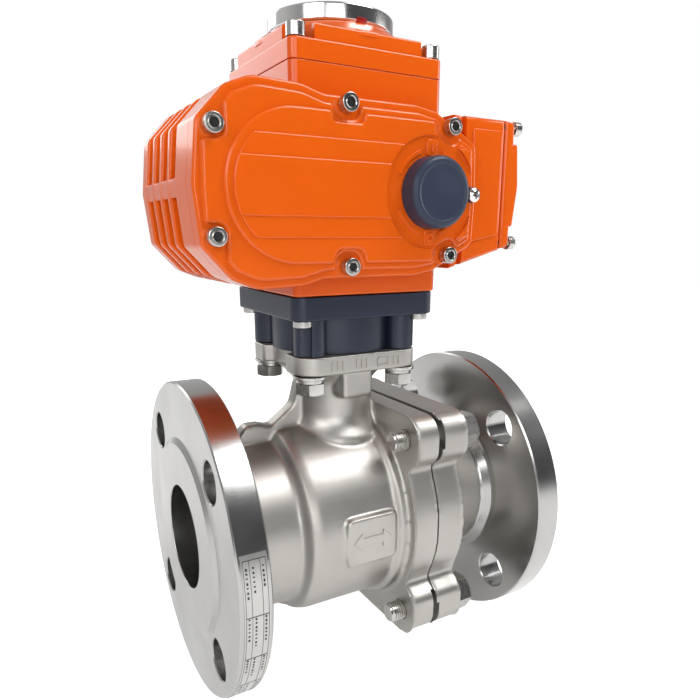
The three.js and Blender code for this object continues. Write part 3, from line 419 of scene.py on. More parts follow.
looks = {
    "orangePaint": {"colour": (0.72, 0.106, 0.004), "secondColour": (0.67, 0.094, 0.003), "grainScale": 650,
                    "roughness": (0.20, 0.26), "bump": 0.12, "bumpDepth": 0.06, "patchScale": 18,
                    "fixed": {"Specular IOR Level": 0.30, "Coat Weight": 0.22, "Coat Roughness": 0.10}},
    "castSteel": {"colour": (0.50, 0.485, 0.46), "secondColour": (0.40, 0.385, 0.36), "grainScale": 1900,
                  "roughness": (0.38, 0.48), "bump": 0.55, "bumpDepth": 0.12, "patchScale": 26,
                  "fixed": {"Metallic": 1.0}},
    "machinedSteel": {"colour": (0.49, 0.485, 0.475), "secondColour": (0.41, 0.405, 0.395), "grainScale": 900,
                      "roughness": (0.17, 0.27), "bump": 0.25, "bumpDepth": 0.035, "pitch": 0.8,
                      "grainShare": 0.4,
                      "fixed": {"Metallic": 1.0}},
    "boltSteel": {"colour": (0.60, 0.59, 0.57), "secondColour": (0.46, 0.45, 0.43), "grainScale": 1500,
                  "roughness": (0.18, 0.32), "bump": 0.12, "bumpDepth": 0.03, "patchScale": 90,
                  "fixed": {"Metallic": 1.0}},
    "blackAnodised": {"colour": (0.007, 0.012, 0.030), "secondColour": (0.011, 0.017, 0.040),
                      "grainScale": 1400, "roughness": (0.30, 0.38), "bump": 0.10, "bumpDepth": 0.03,
                      "fixed": {"Metallic": 0.35, "Specular IOR Level": 0.8}},
    "capRubber": {"colour": (0.024, 0.033, 0.060), "secondColour": (0.030, 0.039, 0.066), "grainScale": 1300,
                  "roughness": (0.34, 0.46), "bump": 0.16, "bumpDepth": 0.04, "patchScale": 70,
                  "fixed": {"Specular IOR Level": 0.3}},
    "bezelSteel": {"colour": (0.78, 0.77, 0.76), "secondColour": (0.70, 0.69, 0.68), "grainScale": 900,
                   "roughness": (0.10, 0.18), "bump": 0.08, "bumpDepth": 0.02, "fixed": {"Metallic": 1.0}},
    "seatPolymer": {"colour": (0.82, 0.82, 0.79), "secondColour": (0.76, 0.76, 0.72), "grainScale": 700,
                    "roughness": (0.4, 0.5), "bump": 0.1, "fixed": {}},
    "clearWindow": {"colour": (0.92, 0.96, 0.97), "grainScale": 200, "roughness": (0.03, 0.06), "bump": 0.0,
                    "fixed": {"Transmission Weight": 0.9, "IOR": 1.49}},
    "blackPlastic": {"colour": (0.012, 0.012, 0.013), "secondColour": (0.02, 0.02, 0.022), "grainScale": 900,
                     "roughness": (0.42, 0.55), "bump": 0.2, "fixed": {}},
    "indicatorPlastic": {"colour": (0.62, 0.03, 0.02), "secondColour": (0.55, 0.025, 0.018), "grainScale": 500,
                         "roughness": (0.3, 0.4), "bump": 0.05, "fixed": {}},
    "boardGreen": {"colour": (0.01, 0.12, 0.04), "secondColour": (0.012, 0.16, 0.05), "grainScale": 900,
                   "roughness": (0.35, 0.5), "bump": 0.1, "fixed": {}},
    "wheelBronze": {"colour": (0.48, 0.27, 0.09), "secondColour": (0.40, 0.22, 0.07), "grainScale": 1200,
                    "roughness": (0.25, 0.38), "bump": 0.15, "fixed": {"Metallic": 1.0}},
    "gearBrass": {"colour": (0.62, 0.43, 0.14), "secondColour": (0.55, 0.37, 0.11), "grainScale": 1200,
                  "roughness": (0.22, 0.34), "bump": 0.12, "fixed": {"Metallic": 1.0}},
    "plateSteel": {"colour": (0.56, 0.555, 0.54), "secondColour": (0.47, 0.465, 0.45), "grainScale": 1600,
                   "roughness": (0.28, 0.38), "bump": 0.1, "bumpDepth": 0.02, "fixed": {"Metallic": 1.0}},
    "plateInk": {"colour": (0.02, 0.02, 0.025), "grainScale": 1600, "roughness": (0.5, 0.6), "bump": 0.05,
                 "fixed": {}},
}
materials = {name: makeMaterial(name, look) for name, look in looks.items()}
print("materials ready")


# ---- camera, light and floor ----

view = {"place": (-151.52, -287.94, 144.21), "azimuth": 30.173, "tilt": -13.814, "roll": 0.251,
        "lens": 32.471, "shift": (-0.01185, 0.0563)}


def makeCamera():
    azimuth, tilt, roll = (math.radians(view[k]) for k in ("azimuth", "tilt", "roll"))
    ahead = Vector((math.sin(azimuth) * math.cos(tilt), math.cos(azimuth) * math.cos(tilt), math.sin(tilt)))
    right = ahead.cross(Vector((0, 0, 1))).normalized()
    up = right.cross(ahead)
    right, up = (right * math.cos(roll) + up * math.sin(roll), up * math.cos(roll) - right * math.sin(roll))
    data = bpy.data.cameras.new("camera")
    data.lens = view["lens"]
    data.sensor_width = 36
    data.shift_x, data.shift_y = view["shift"]
    data.clip_start = 0.01
    camera = bpy.data.objects.new("camera", data)
    camera.matrix_world = Matrix.Translation(Vector(view["place"]) * mm) @ Matrix(
        (right, up, -ahead)).transposed().to_4x4()
    bpy.context.scene.collection.objects.link(camera)
    bpy.context.scene.camera = camera


lampValues = {  # place and target in metres, size in metres, power in watts
    "key": ((-0.85, -0.55, 0.60), (0, 0, 0.1), 0.6, 4.4),
    "front": ((-0.35, -1.05, 0.35), (0, 0, 0.05), 0.6, 3.4),
    "top": ((0.42, -0.40, 1.00), (0, 0, 0.05), 0.6, 8.0),
    "right": ((1.0, -0.25, 0.30), (0, 0, 0.08), 0.5, 2.6),
    "back": ((-0.3, 0.95, 0.6), (0, 0, 0.1), 0.7, 2.5),
}


def makeLight():
    for name, (place, target, size, power) in lampValues.items():
        data = bpy.data.lights.new(name, "AREA")
        data.shape = "RECTANGLE"
        data.size = size
        data.size_y = size * 0.8
        data.energy = power
        lamp = bpy.data.objects.new(name, data)
        lamp.location = place
        lamp.rotation_euler = (Vector(target) - Vector(place)).to_track_quat("-Z", "Y").to_euler()
        bpy.context.scene.collection.objects.link(lamp)
    world = bpy.data.worlds.new("studio")
    bpy.context.scene.world = world
    world.use_nodes = True
    tree = world.node_tree
    sky = tree.nodes["Background"]
    sky.inputs["Strength"].default_value = 1.0
    place = tree.nodes.new("ShaderNodeTexCoord")
    towards = tree.nodes.new("ShaderNodeVectorMath")
    towards.operation = "DOT_PRODUCT"
    towards.inputs[1].default_value = (-0.25, 0.80, 0.30)
    tree.links.new(place.outputs["Generated"], towards.inputs[0])
    ramp = tree.nodes.new("ShaderNodeValToRGB")
    ramp.color_ramp.elements[0].position = 0.12
    ramp.color_ramp.elements[0].color = (0.06, 0.06, 0.065, 1)
    ramp.color_ramp.elements[1].position = 0.85
    ramp.color_ramp.elements[1].color = (0.55, 0.55, 0.55, 1)
    band = ramp.color_ramp.elements.new(0.5)
    band.color = (0.20, 0.20, 0.205, 1)
    tree.links.new(mathNode(tree, "ADD", mathNode(tree, "MULTIPLY", towards.outputs["Value"], 0.5), 0.5),
                   ramp.inputs[0])
    path = tree.nodes.new("ShaderNodeLightPath")
    mix = tree.nodes.new("ShaderNodeMix")
    mix.data_type = "RGBA"
    mix.inputs["B"].default_value = (1, 1, 1, 1)
    tree.links.new(ramp.outputs["Color"], mix.inputs["A"])
    tree.links.new(path.outputs["Is Camera Ray"], mix.inputs["Factor"])
    tree.links.new(mix.outputs["Result"], sky.inputs["Color"])


def makeFloor():
    bottom = cadBox[0][2] / mm
    slab = toObject("floor", prism(box(2500, 2500), bottom - 5, bottom - 0.1, "z"))
    material = bpy.data.materials.new("floor_white")
    material.use_nodes = True
    tree = material.node_tree
    shader = tree.nodes["Principled BSDF"]
    shader.inputs["Base Color"].default_value = (0.93, 0.93, 0.93, 1)
    shader.inputs["Roughness"].default_value = 0.7
    shader.inputs["Specular IOR Level"].default_value = 0.0
    path = tree.nodes.new("ShaderNodeLightPath")
    glow = mathNode(tree, "ADD", mathNode(tree, "MULTIPLY", path.outputs["Is Camera Ray"], 0.8),
                    mathNode(tree, "MULTIPLY", path.outputs["Is Glossy Ray"], 0.25))
    shader.inputs["Emission Color"].default_value = (1, 1, 1, 1)
    tree.links.new(glow, shader.inputs["Emission Strength"])
    slab.data.materials.append(material)


makeCamera()
makeLight()
makeFloor()
bpy.context.scene.view_settings.view_transform = "Standard"
print("camera and light ready")

# ---- valve ----

valve = {
    "raisedRadius": 46, "raisedHeight": 1.6, "boreRadius": 25.3, "flangeThickness": 14.2, "rimEdge": 0.7,
    "boltCircle": 120.65, "boltHole": 9.5, "hubRadius": 43, "barrelRadius": 49, "shoulderX": -33.5,
    "beadHeight": 2.8, "capHubRadius": 37, "neckRadius": 20.5, "voxel": 0.9, "smoothing": 7,
    "jointBoltHole": 5.4, "washerRoom": 9.2, "boltSides": 32, "barrelSides": 96,
}
joint = {"startX": 16, "seamX": 31, "seamGap": 0.3, "capEndX": 47.5, "relief": 1.8, "radius": 55,
         "waist": (46.8, 31.5), "ear": (55.5, 58), "earBottom": 38}
chamber = {"radius": 40.6, "shoulderX": -30.3, "seatX": 37, "seatRadius": 35.3, "spigotX": 24.2,
           "gasketRadius": 44.3, "gasketDepth": 2.8}
stemWay = [(30, 0), (30, 13), (46, 13), (46, 9.3), (60, 9.3), (60, 14.2), (95, 14.2), (95, 0)]
pad = {"half": 33, "corner": 10, "thickness": 9, "notchDepth": 6, "notchHalf": 14, "boltHole": 4.4,
       "centreHole": 14.2, "markLow": 2.2, "markHigh": 6.6,
       "markX": (-17, -14.2, -11.4, -4, -1.2, 1.6, 17, 19.8)}
emblem = {"centre": (-4.8, 0.8), "half": (13.6, 12.3), "corner": 3, "height": 1.7}
bodyLow, bodyHigh = span("valve_body")
inletX, outletX = bodyLow[0], span("end_cap")[1][0]
flangeRadius, padTop = bodyHigh[1:]
seamX = joint["seamX"]
padBottom = padTop - pad["thickness"]
inletBack = inletX + valve["raisedHeight"] + valve["flangeThickness"]
outletBack = outletX - valve["raisedHeight"] - valve["flangeThickness"]


def jointOutline():
    y, z = joint["waist"]
    earY, earZ = joint["ear"]
    first = math.atan2(z, y) - 0.12
    quarter = [(earY, earZ, 10.5), (earY, joint["earBottom"], 7), (y, z, 4)]
    quarter += [(joint["radius"] * math.cos(a), joint["radius"] * math.sin(a), 0)
                for a in [first * (1 - i / 8) for i in range(9)]]
    half = quarter + [(u, -v, r) for u, v, r in quarter[-2::-1]]
    return rounded(half + [(-u, v, r) for u, v, r in half[::-1]], 6)


def boltHoles(low, high):
    spread = valve["boltCircle"] / 2 * math.sqrt(0.5)
    places = [(a * spread, b * spread) for a in (-1, 1) for b in (-1, 1)]
    return [lathe([(low - 2, 0), (low - 2, valve["boltHole"] + 2.6), (low + 0.6, valve["boltHole"]),
                   (high - 0.6, valve["boltHole"]), (high + 2, valve["boltHole"] + 2.6), (high + 2, 0)],
                  "x", place, 40) for place in places]


def makeFlange(name, node, faceX, backX, hubRadius, side):  # side is -1 at the inlet
    edge = valve["rimEdge"]
    discX = faceX - side * valve["raisedHeight"]
    raised = valve["raisedRadius"]
    corners = [(faceX, valve["boreRadius"], 0.5), (faceX, raised, 0.4), (discX, raised + 3, 0.6),
               (discX, flangeRadius - edge), (discX - side * edge, flangeRadius),
               (backX + side * edge, flangeRadius), (backX, flangeRadius - edge), (backX, hubRadius + 4, 3),
               (backX - side * 4, hubRadius, 2), (backX - side * 5, hubRadius - 0.4),
               (backX - side * 5, valve["boreRadius"])]
    flange = toObject(name, lathe(corners, "x", sides=128))
    carve(flange, *boltHoles(min(discX, backX), max(discX, backX)))
    return finishPiece(flange, "machinedSteel", nodes=(node,))


def makeBodyCasting():
    hub, radius, neck = valve["hubRadius"], valve["barrelRadius"], valve["neckRadius"]
    shoulder, start, bead = valve["shoulderX"], joint["startX"], radius + valve["beadHeight"]
    barrel = lathe([(inletBack + 4.5, 0), (inletBack + 4.5, hub), (shoulder - 4.5, hub, 1.5),
                    (shoulder - 1.5, radius - 1.2, 1.5), (shoulder + 3, radius, 2), (start - 6, radius),
                    (start - 4.5, bead, 1), (start - 1.5, bead, 1), (start, radius),
                    (seamX - 2, radius), (seamX - 2, 0)], "x", sides=valve["barrelSides"])
    plate = prism(jointOutline(), start, seamX, "x", (2.2, 1.2))
    neckSolid = lathe([(30, 0), (30, neck + 6), (44.5, neck + 6, 4), (52, neck, 14), (72, neck, 6),
                       (padBottom + 1, neck + 8.5), (padBottom + 1, 0)])
    ribTop = prism(rounded([(inletBack + 2, 30), (-21, 30), (-15, 74), (-21.5, 72, 4), (-24.5, 60, 7),
                            (-37, 50.5, 3), (-42.5, 52.3, 2.5), (-50, 52.3, 2.5), (-54.5, 46.8, 3),
                            (inletBack + 2, 48)]), -4.6, 4.6, "y", (1.4, 1.4))
    ribLow = prism(rounded([(inletBack + 2, -47), (-41, -47, 5), (-27, -54.5, 6), (start + 2, -56),
                            (start + 2, -30), (inletBack + 2, -30)]), -5, 5, "y", (1.5, 1.5))
    lug = prism(rounded([(-10.5, -10), (-8, -27.5, 1.5), (8, -27.5, 1.5), (10.5, -10)]), 65.5, padBottom + 1,
                "z", (2.5, 0))
    plaque = prism(box(*emblem["half"], emblem["corner"], emblem["centre"]), -radius - emblem["height"], -36,
                   "y", (0.5, 0))
    casting = toObject("body_casting", fuse(barrel, plate, neckSolid, ribTop, ribLow, lug, plaque))
    cast(casting, valve["voxel"], valve["smoothing"])
    bore, seatRadius, wall = valve["boreRadius"], chamber["seatRadius"], chamber["radius"]
    carve(casting,
          lathe([(inletBack + 4, 0), (inletBack + 4, bore), (-chamber["seatX"], bore),
                 (-chamber["seatX"], seatRadius), (chamber["shoulderX"], seatRadius),
                 (chamber["shoulderX"], wall), (seamX + 2, wall), (seamX + 2, 0)], "x",
                sides=valve["barrelSides"]),
          *rods(valve["jointBoltHole"], start - 3, seamX + 3, "x", placesOf("body_bolt", "x"),
                sides=valve["boltSides"]),
          *[prism(box(60, 13, 0, (0, z)), seamX - joint["relief"], seamX + 3, "x") for z in (-48.5, 48.5)])
    carve(casting, *rods(valve["washerRoom"], 60, padBottom, "z", placesOf("pad_bolt")))
    carve(casting, lathe(stemWay))
    carve(casting, rod(chamber["gasketRadius"], seamX - chamber["gasketDepth"], seamX + 2, "x",
                       sides=valve["barrelSides"]))
    finishPiece(casting, "castSteel", nodes=("valve_body",), angle=40)


def makePad():
    half, corner, notch = pad["half"], pad["corner"], pad["notchHalf"]
    notchX = pad["notchDepth"] - half
    outline = rounded([(-half, -half, corner), (half, -half, corner), (half, half, corner),
                       (-half, half, corner), (-half, notch, 3), (notchX, notch - 3, 3),
                       (notchX, 3 - notch, 3), (-half, -notch, 3)], 6)
    slab = toObject("mounting_pad", prism(outline, padBottom, padTop, "z", (1.3, 0.8)))
    carve(slab, rod(pad["centreHole"], padBottom - 3, padTop + 3),
          *rods(pad["boltHole"], padBottom - 3, padTop + 3, "z", placesOf("pad_bolt"),
                sides=valve["boltSides"]))
    finishPiece(slab, "castSteel", nodes=("valve_body",))


def makePadMarks():  # plain tally bars and a blank square for the stem size
    front, half = -pad["half"], (pad["markHigh"] - pad["markLow"]) / 2
    z = padBottom + (pad["markLow"] + pad["markHigh"]) / 2
    bars = [prism(box(0.55, half, 0.3, (x, z)), front - 0.5, front + 0.6, "y", (0.2, 0)) for x in pad["markX"]]
    outer = box(3.2, half, 0.4, (10.5, z))
    inner = inset(outer, 0.8)
    frameRings = [(outer, front + 0.6), (outer, front - 0.5), (inner, front - 0.5), (inner, front + 0.6)]
    square = loft([[(p.x, y, p.y) for p in line] for line, y in frameRings], closed=True)
    finishPiece(toObject("pad_marks", fuse(*bars[:6], square, *bars[6:])), "castSteel")


def makeFlowArrow():  # a plain two-way arrow on the raised emblem
    y = -valve["barrelRadius"] - emblem["height"]
    x0, z0 = emblem["centre"]
    arrow = [(-10.5, 0), (-5.5, -5), (-5.5, -2), (5.5, -2), (5.5, -5), (10.5, 0), (5.5, 5), (5.5, 2),
             (-5.5, 2), (-5.5, 5)]
    solid = prism(rounded([(x + x0, z + z0, 0.4) for x, z in arrow], 3), y - 0.7, y + 1, "y", (0.3, 0))
    finishPiece(toObject("flow_arrow", solid), "castSteel")


def makeCapCasting():
    seam, end, hub = seamX + joint["seamGap"], joint["capEndX"], valve["capHubRadius"]
    sides = valve["barrelSides"]
    plate = prism(jointOutline(), seam, end, "x", (1.2, 2.2))
    neck = lathe([(seam + 1, 0), (seam + 1, 47), (end, 47, 1), (end + 3, 43, 3), (end + 11, hub, 8),
                  (outletBack - 4.6, hub), (outletBack - 4.6, 0)], "x", sides=sides)
    casting = toObject("cap_casting", fuse(plate, neck))
    cast(casting, valve["voxel"], valve["smoothing"])
    bore, spigotX, seatX, seatRadius = (valve["boreRadius"], chamber["spigotX"], chamber["seatX"],
                                        chamber["seatRadius"])
    weld(casting, rod(chamber["radius"] - 0.3, spigotX, seam + 2, "x", sides=sides))
    carve(casting, lathe([(spigotX - 2, 0), (spigotX - 2, seatRadius), (seatX, seatRadius), (seatX, bore),
                          (outletBack, bore), (outletBack, 0)], "x", sides=sides),
          *rods(valve["jointBoltHole"], seam - 3, end + 3, "x", placesOf("body_bolt", "x"),
                sides=valve["boltSides"]),
          *[prism(box(60, 7, 0, (0, z)), seam - 3, seam + joint["relief"], "x") for z in (-49, 49)])
    finishPiece(casting, "castSteel", nodes=("end_cap",), angle=40)


def hexHead(flats, low, high, axis, centre, up):  # chamfered on the side that up points to
    top, bottom = (high, low) if up > 0 else (low, high)
    outline = hexagon(flats, centre)
    place = axisMaps[axis]
    middlePoint = Vector(centre)
    drop = [((p - middlePoint).length - flats / 2 * 0.97) * 0.5 for p in outline]
    rings = [[place(p.x, p.y, bottom) for p in outline],
             [place(p.x, p.y, top - up * d) for p, d in zip(outline, drop)],
             [place(*(middlePoint + (p - middlePoint).normalized() * flats / 2 * 0.95), top) for p in outline]]
    return loft(rings)


def threadedRod(radius, low, high, axis, centre, pitch=1.25, sides=28):
    turns = int((high - low - 2) / pitch)
    corners = [(low, 0), (low, radius - 0.9)]
    for i in range(turns):
        at = low + 0.9 + i * pitch
        corners += [(at, radius - 0.75), (at + pitch * 0.35, radius), (at + pitch * 0.65, radius)]
    corners += [(high - 0.9, radius - 0.75), (high, radius - 1), (high, 0)]
    return lathe(corners, axis, centre, sides)


def makeJointBolts():
    for i in range(1, 5):
        node = f"body_bolt_{i}"
        low, high = span(node)
        centre = middle(node)[1:]
        headFrom = high[0] - 8.4
        bolt = toObject(f"joint_bolt_{i}", fuse(
            threadedRod(5, low[0], headFrom - 1, "x", centre),
            rod(8.1, headFrom, headFrom + 0.7, "x", centre, (0.2, 0.2)),
            hexHead(16.8, headFrom + 0.5, high[0], "x", centre, 1)))
        finishPiece(bolt, "boltSteel", nodes=(node,))


def makePadBolts():
    for i in range(1, 5):
        node = f"pad_bolt_{i}"
        low, high = span(node)
        centre = middle(node)[:2]
        seat = padBottom - 0.3
        head = low[2] + 5.6
        splitWasher = lathe([(head, 4.3), (head, 6.6, 0.3), (head + 1.7, 6.6, 0.3), (head + 1.7, 4.3)],
                            "z", centre, 32)
        bolt = toObject(f"pad_bolt_{i}_detail", fuse(
            threadedRod(4, head - 1, high[2] - 0.1, "z", centre),
            hexHead(13, low[2], head - 0.15, "z", centre, -1),
            splitWasher, rod(8, head + 1.85, seat, "z", centre, (0.3, 0.3))))
        finishPiece(bolt, "boltSteel", nodes=(node,))


def makeBall():
    radius, floor = 38.5, 31
    turns = [math.pi * i / 48 for i in range(49)]
    ball = toObject("ball_sphere", lathe([(radius * math.cos(a), radius * math.sin(a)) for a in turns], "x",
                                         sides=96))
    carve(ball, lathe([(-radius - 2, 0), (-radius - 2, 30), (-28.2, 25.8), (-27, 25.3), (27, 25.3),
                       (28.2, 25.8), (radius + 2, 30), (radius + 2, 0)], "x", sides=96),
          prism(box(5.3, radius), floor, radius + 2))
    finishPiece(ball, "bezelSteel", "quarter_turn", ("ball",))


def makeSeats():
    for side, node in ((-1, "seat_inlet"), (1, "seat_outlet")):
        curve = 38.9
        corners = [(side * 36.7, 25.6, 0.4), (side * 36.7, 35, 0.4), (side * 22.7, 35, 0.4)]
        for i in range(7):
            radius = 31.6 + (25.6 - 31.6) * i / 6
            corners.append((side * math.sqrt(curve ** 2 - radius ** 2), radius))
        seat = toObject(node + "_ring", lathe(corners, "x", sides=96))
        finishPiece(seat, "seatPolymer", nodes=(node,))


def makeNameplate():  # a thin band round the inlet rim with a ruled, blank table
    plate = {"start": -0.30, "end": 1.18, "from": inletX + 3.2, "to": inletBack - 1.6, "height": 0.35,
             "steps": 72, "line": 0.0024}
    sweep = plate["end"] - plate["start"]

    def strip(first, last, x0, x1, low, high):
        steps = max(2, int(plate["steps"] * (last - first) / sweep))
        rings = []
        for k in range(steps + 1):
            angle = first + (last - first) * k / steps
            across, down = math.cos(angle), math.sin(angle)
            rings.append([(x, -r * across, -r * down) for x, r in (
                (x0, flangeRadius + low), (x1, flangeRadius + low), (x1, flangeRadius + high),
                (x0, flangeRadius + high))])
        return loft(rings)

    finishPiece(toObject("rating_band", strip(plate["start"], plate["end"], plate["from"], plate["to"], -0.4,
                                              plate["height"])), "plateSteel")
    low, high = plate["height"] - 0.1, plate["height"] + 0.06
    rules = []
    for k in (0.02, 0.23, 0.42, 0.60, 0.79, 0.98):
        at = plate["start"] + sweep * k
        rules.append(strip(at - plate["line"], at + plate["line"], plate["from"] + 0.6, plate["to"] - 0.6,
                           low, high))
    for x in (plate["from"] + 0.6, plate["from"] + 3.2, plate["to"] - 3.2, plate["to"] - 0.8):
        rules.append(strip(plate["start"] + sweep * 0.02, plate["start"] + sweep * 0.98, x, x + 0.2, low, high))
    for x in (plate["from"] + 1.5, plate["from"] + 4.4, plate["to"] - 2.4):
        for k in range(5):
            mark = 0.045 + 0.19 * k
            for share in range(random.randint(5, 8)):
                first = plate["start"] + sweep * (mark + 0.017 * share)
                rules.append(strip(first, first + sweep * random.uniform(0.005, 0.011), x, x + 0.8, low, high))
    finishPiece(toObject("rating_rules", fuse(*rules)), "plateInk")


makeFlange("inlet_flange", "valve_body", inletX, inletBack, valve["hubRadius"], -1)
makeFlange("outlet_flange", "end_cap", outletX, outletBack, valve["capHubRadius"], 1)
makeBodyCasting()
makeCapCasting()
makePad()
makePadMarks()
makeFlowArrow()
makeJointBolts()
makePadBolts()
makeBall()
makeSeats()
makeNameplate()
print("valve ready")

# ---- adapter ----

adapter = {"half": 37.6, "corner": 6, "drumRadius": 31, "lobeRadius": 7.6, "bore": 19, "headRoom": 4.6,
           "plate": 10.6}


def makeAdapter():
    low, high = span("adapter_bracket")
    plateLow = high[2] - adapter["plate"]
    bolts, screws = placesOf("pad_bolt"), placesOf("adapter_screw")
    drum = toObject("adapter_block", rod(adapter["drumRadius"], low[2], plateLow + 0.5, sides=96))
    weld(drum, *rods(adapter["lobeRadius"], low[2], plateLow + 0.5, "z", bolts, (0.3, 0)))
    carve(drum, *rods(adapter["headRoom"], low[2] - 1, plateLow, "z", screws))
    half = adapter["half"]
    weld(drum, prism(box(half, half, adapter["corner"]), plateLow, high[2], "z", (0.7, 0.5)))
    carve(drum, rod(adapter["bore"], low[2] - 1, high[2] + 1))
    carve(drum, *rods(4.4, low[2] - 1, low[2] + 11, "z", bolts, sides=32),
          *rods(3.2, plateLow - 2, high[2] + 1, "z", screws, sides=32))
    finishPiece(drum, "blackAnodised", nodes=("adapter_bracket",))


# ---- screws ----

socketShadePlugs = []  # painted shade: dark plugs at the bottoms of the sockets stand in for their shadow, gathered in one piece


screwKinds = {  # head radius, head height, shank radius, key flats, rounding; up is where the head points
    "bracket_screw": {"node": "adapter_screw", "axis": "z", "up": -1, "sizes": (4.3, 2.8, 2.9, 4, 0.45)},
    "lid_screw": {"node": "top_screw", "axis": "z", "up": 1, "sizes": (4.0, 5.4, 2, 3.6, 0.45)},
    "end_screw": {"node": "wiring_screw", "axis": "x", "up": 1, "sizes": (3.4, 4, 1.9, 3.3, 0.45)},
    "face_screw": {"node": "cover_screw", "axis": "y", "up": -1, "sizes": (3.7, 4, 1.9, 3.5, 0.3)},
}


def socketScrew(name, node, axis, up, sizes):
    headRadius, headHeight, shank, flats, edge = sizes
    low, high = (corner["xyz".index(axis)] for corner in span(node))
    centre = across(middle(node), axis)
    top, end = (high, low) if up > 0 else (low, high)
    seat = top - up * headHeight
    half = flats / 2
    screw = toObject(name, lathe([(top, 0), (top, half + 0.25), (top - up * 0.25, half + 0.5),
                                  (top, half + 0.75), (top, headRadius, edge), (seat, headRadius, 0.15), (seat, shank),
                                  (end, shank, 0.4), (end, 0)], axis, centre, 48, 3))
    floor = top - up * min(3, headHeight - 0.8)
    carve(screw, prism(hexagon(flats, centre), *sorted((floor, top + up)), axis))
    # a dark plug at the socket bottom paints the shade that falls there
    socketShadePlugs.append(prism(hexagon(flats - 0.04, centre), *sorted((floor, floor + up * 0.8)), axis))
    finishPiece(screw, "boltSteel", nodes=(node,))


def makeScrews():
    for i in range(1, 5):
        for name in ("bracket_screw", "lid_screw", "end_screw"):
            kind = screwKinds[name]
            socketScrew(f"{name}_{i}", f"{kind['node']}_{i}", kind["axis"], kind["up"], kind["sizes"])
    kind = screwKinds["face_screw"]
    for i in range(1, 7):
        socketScrew(f"face_screw_{i}", f"{kind['node']}_{i}", kind["axis"], kind["up"], kind["sizes"])
    # the painted socket shade, all in one dark piece
    finishPiece(toObject("socket_shade_plugs", fuse(*socketShadePlugs)), "blackPlastic")


# ---- actuator casing ----

casing = {"half": 37.6, "axisZ": 162, "frontY": -39.7, "rearY": 37.6, "seamTop": 212, "columnEdge": 3.5,
          "finStarts": (-22.5, -9.1, 4.3, 17.7), "finGap": 9.2, "finEdge": 1.1, "chamberY": -32,
          "wall": 6.6, "floor": 128, "chamberInset": 6.5, "bossRadius": 5.2, "motorRadius": 26,
          "screwHole": 2.2}
gearHalf = [(51.5, 0, 0), (50.5, 22.5, 5), (27, 34.6, 6), (17, 36.3, 8), (-28, 36.2, 10), (-38, 39, 14),
            (-58, 39.9, 16), (-69, 35.5, 7), (-80.4, 23, 4), (-82.8, 0, 0)]
coverScrews = [(-74.8, 21), (-75.3, -19), (-18.5, 33.2), (-17.5, -31.3), (34.2, 28.4), (34.1, -27)]
wormX = 23.3
motorX, idlerX = wormX - 68, wormX - 40
coverScrewPlaces = [(x, casing["axisZ"] + height) for x, height in coverScrews]


def mirrored(half):  # a half outline above the worm axis, made whole
    return half + [(x, -z, r) for x, z, r in half[-2:0:-1]]


def aboutAxis(corners):  # from heights above the worm axis to heights in the frame
    return [(c[0], c[1] + casing["axisZ"], c[2]) for c in corners]


def faceOutline(corners, steps=5):
    return rounded(aboutAxis(corners), steps)


def notched(corners, spots, radius):  # bays in an outline round the screws that stand on it
    outline = []
    for i, here in enumerate(corners):
        outline.append(here)
        start, end = Vector(here[:2]), Vector(corners[(i + 1) % len(corners)][:2])
        along = (end - start).normalized()
        inward = Vector((-along.y, along.x))
        for spot in spots:
            foot = (Vector(spot) - start).dot(along)
            depth = (Vector(spot) - start).dot(inward) + radius
            if radius + 1 < foot < (end - start).length - radius - 1 and 1.5 < depth < 2.4 * radius:
                a, b = start + along * (foot - radius), start + along * (foot + radius)
                c, d = a + inward * depth, b + inward * depth
                bay = min(radius * 0.92, depth - 2)
                outline += [(a.x, a.y, 1.8), (c.x, c.y, bay), (d.x, d.y, bay), (b.x, b.y, 1.8)]
    return outline


def gearHollow(name, low, high, bossSpan):  # the room for the spur gears, less the bosses of the cover screws
    room = toObject(name, prism(rounded(aboutAxis(insetCorners(mirrored(gearHalf), casing["chamberInset"]))),
                                low, high, "y"))
    carve(room, *rods(casing["bossRadius"], *bossSpan, "y", coverScrewPlaces))
    return takeSolid(room)


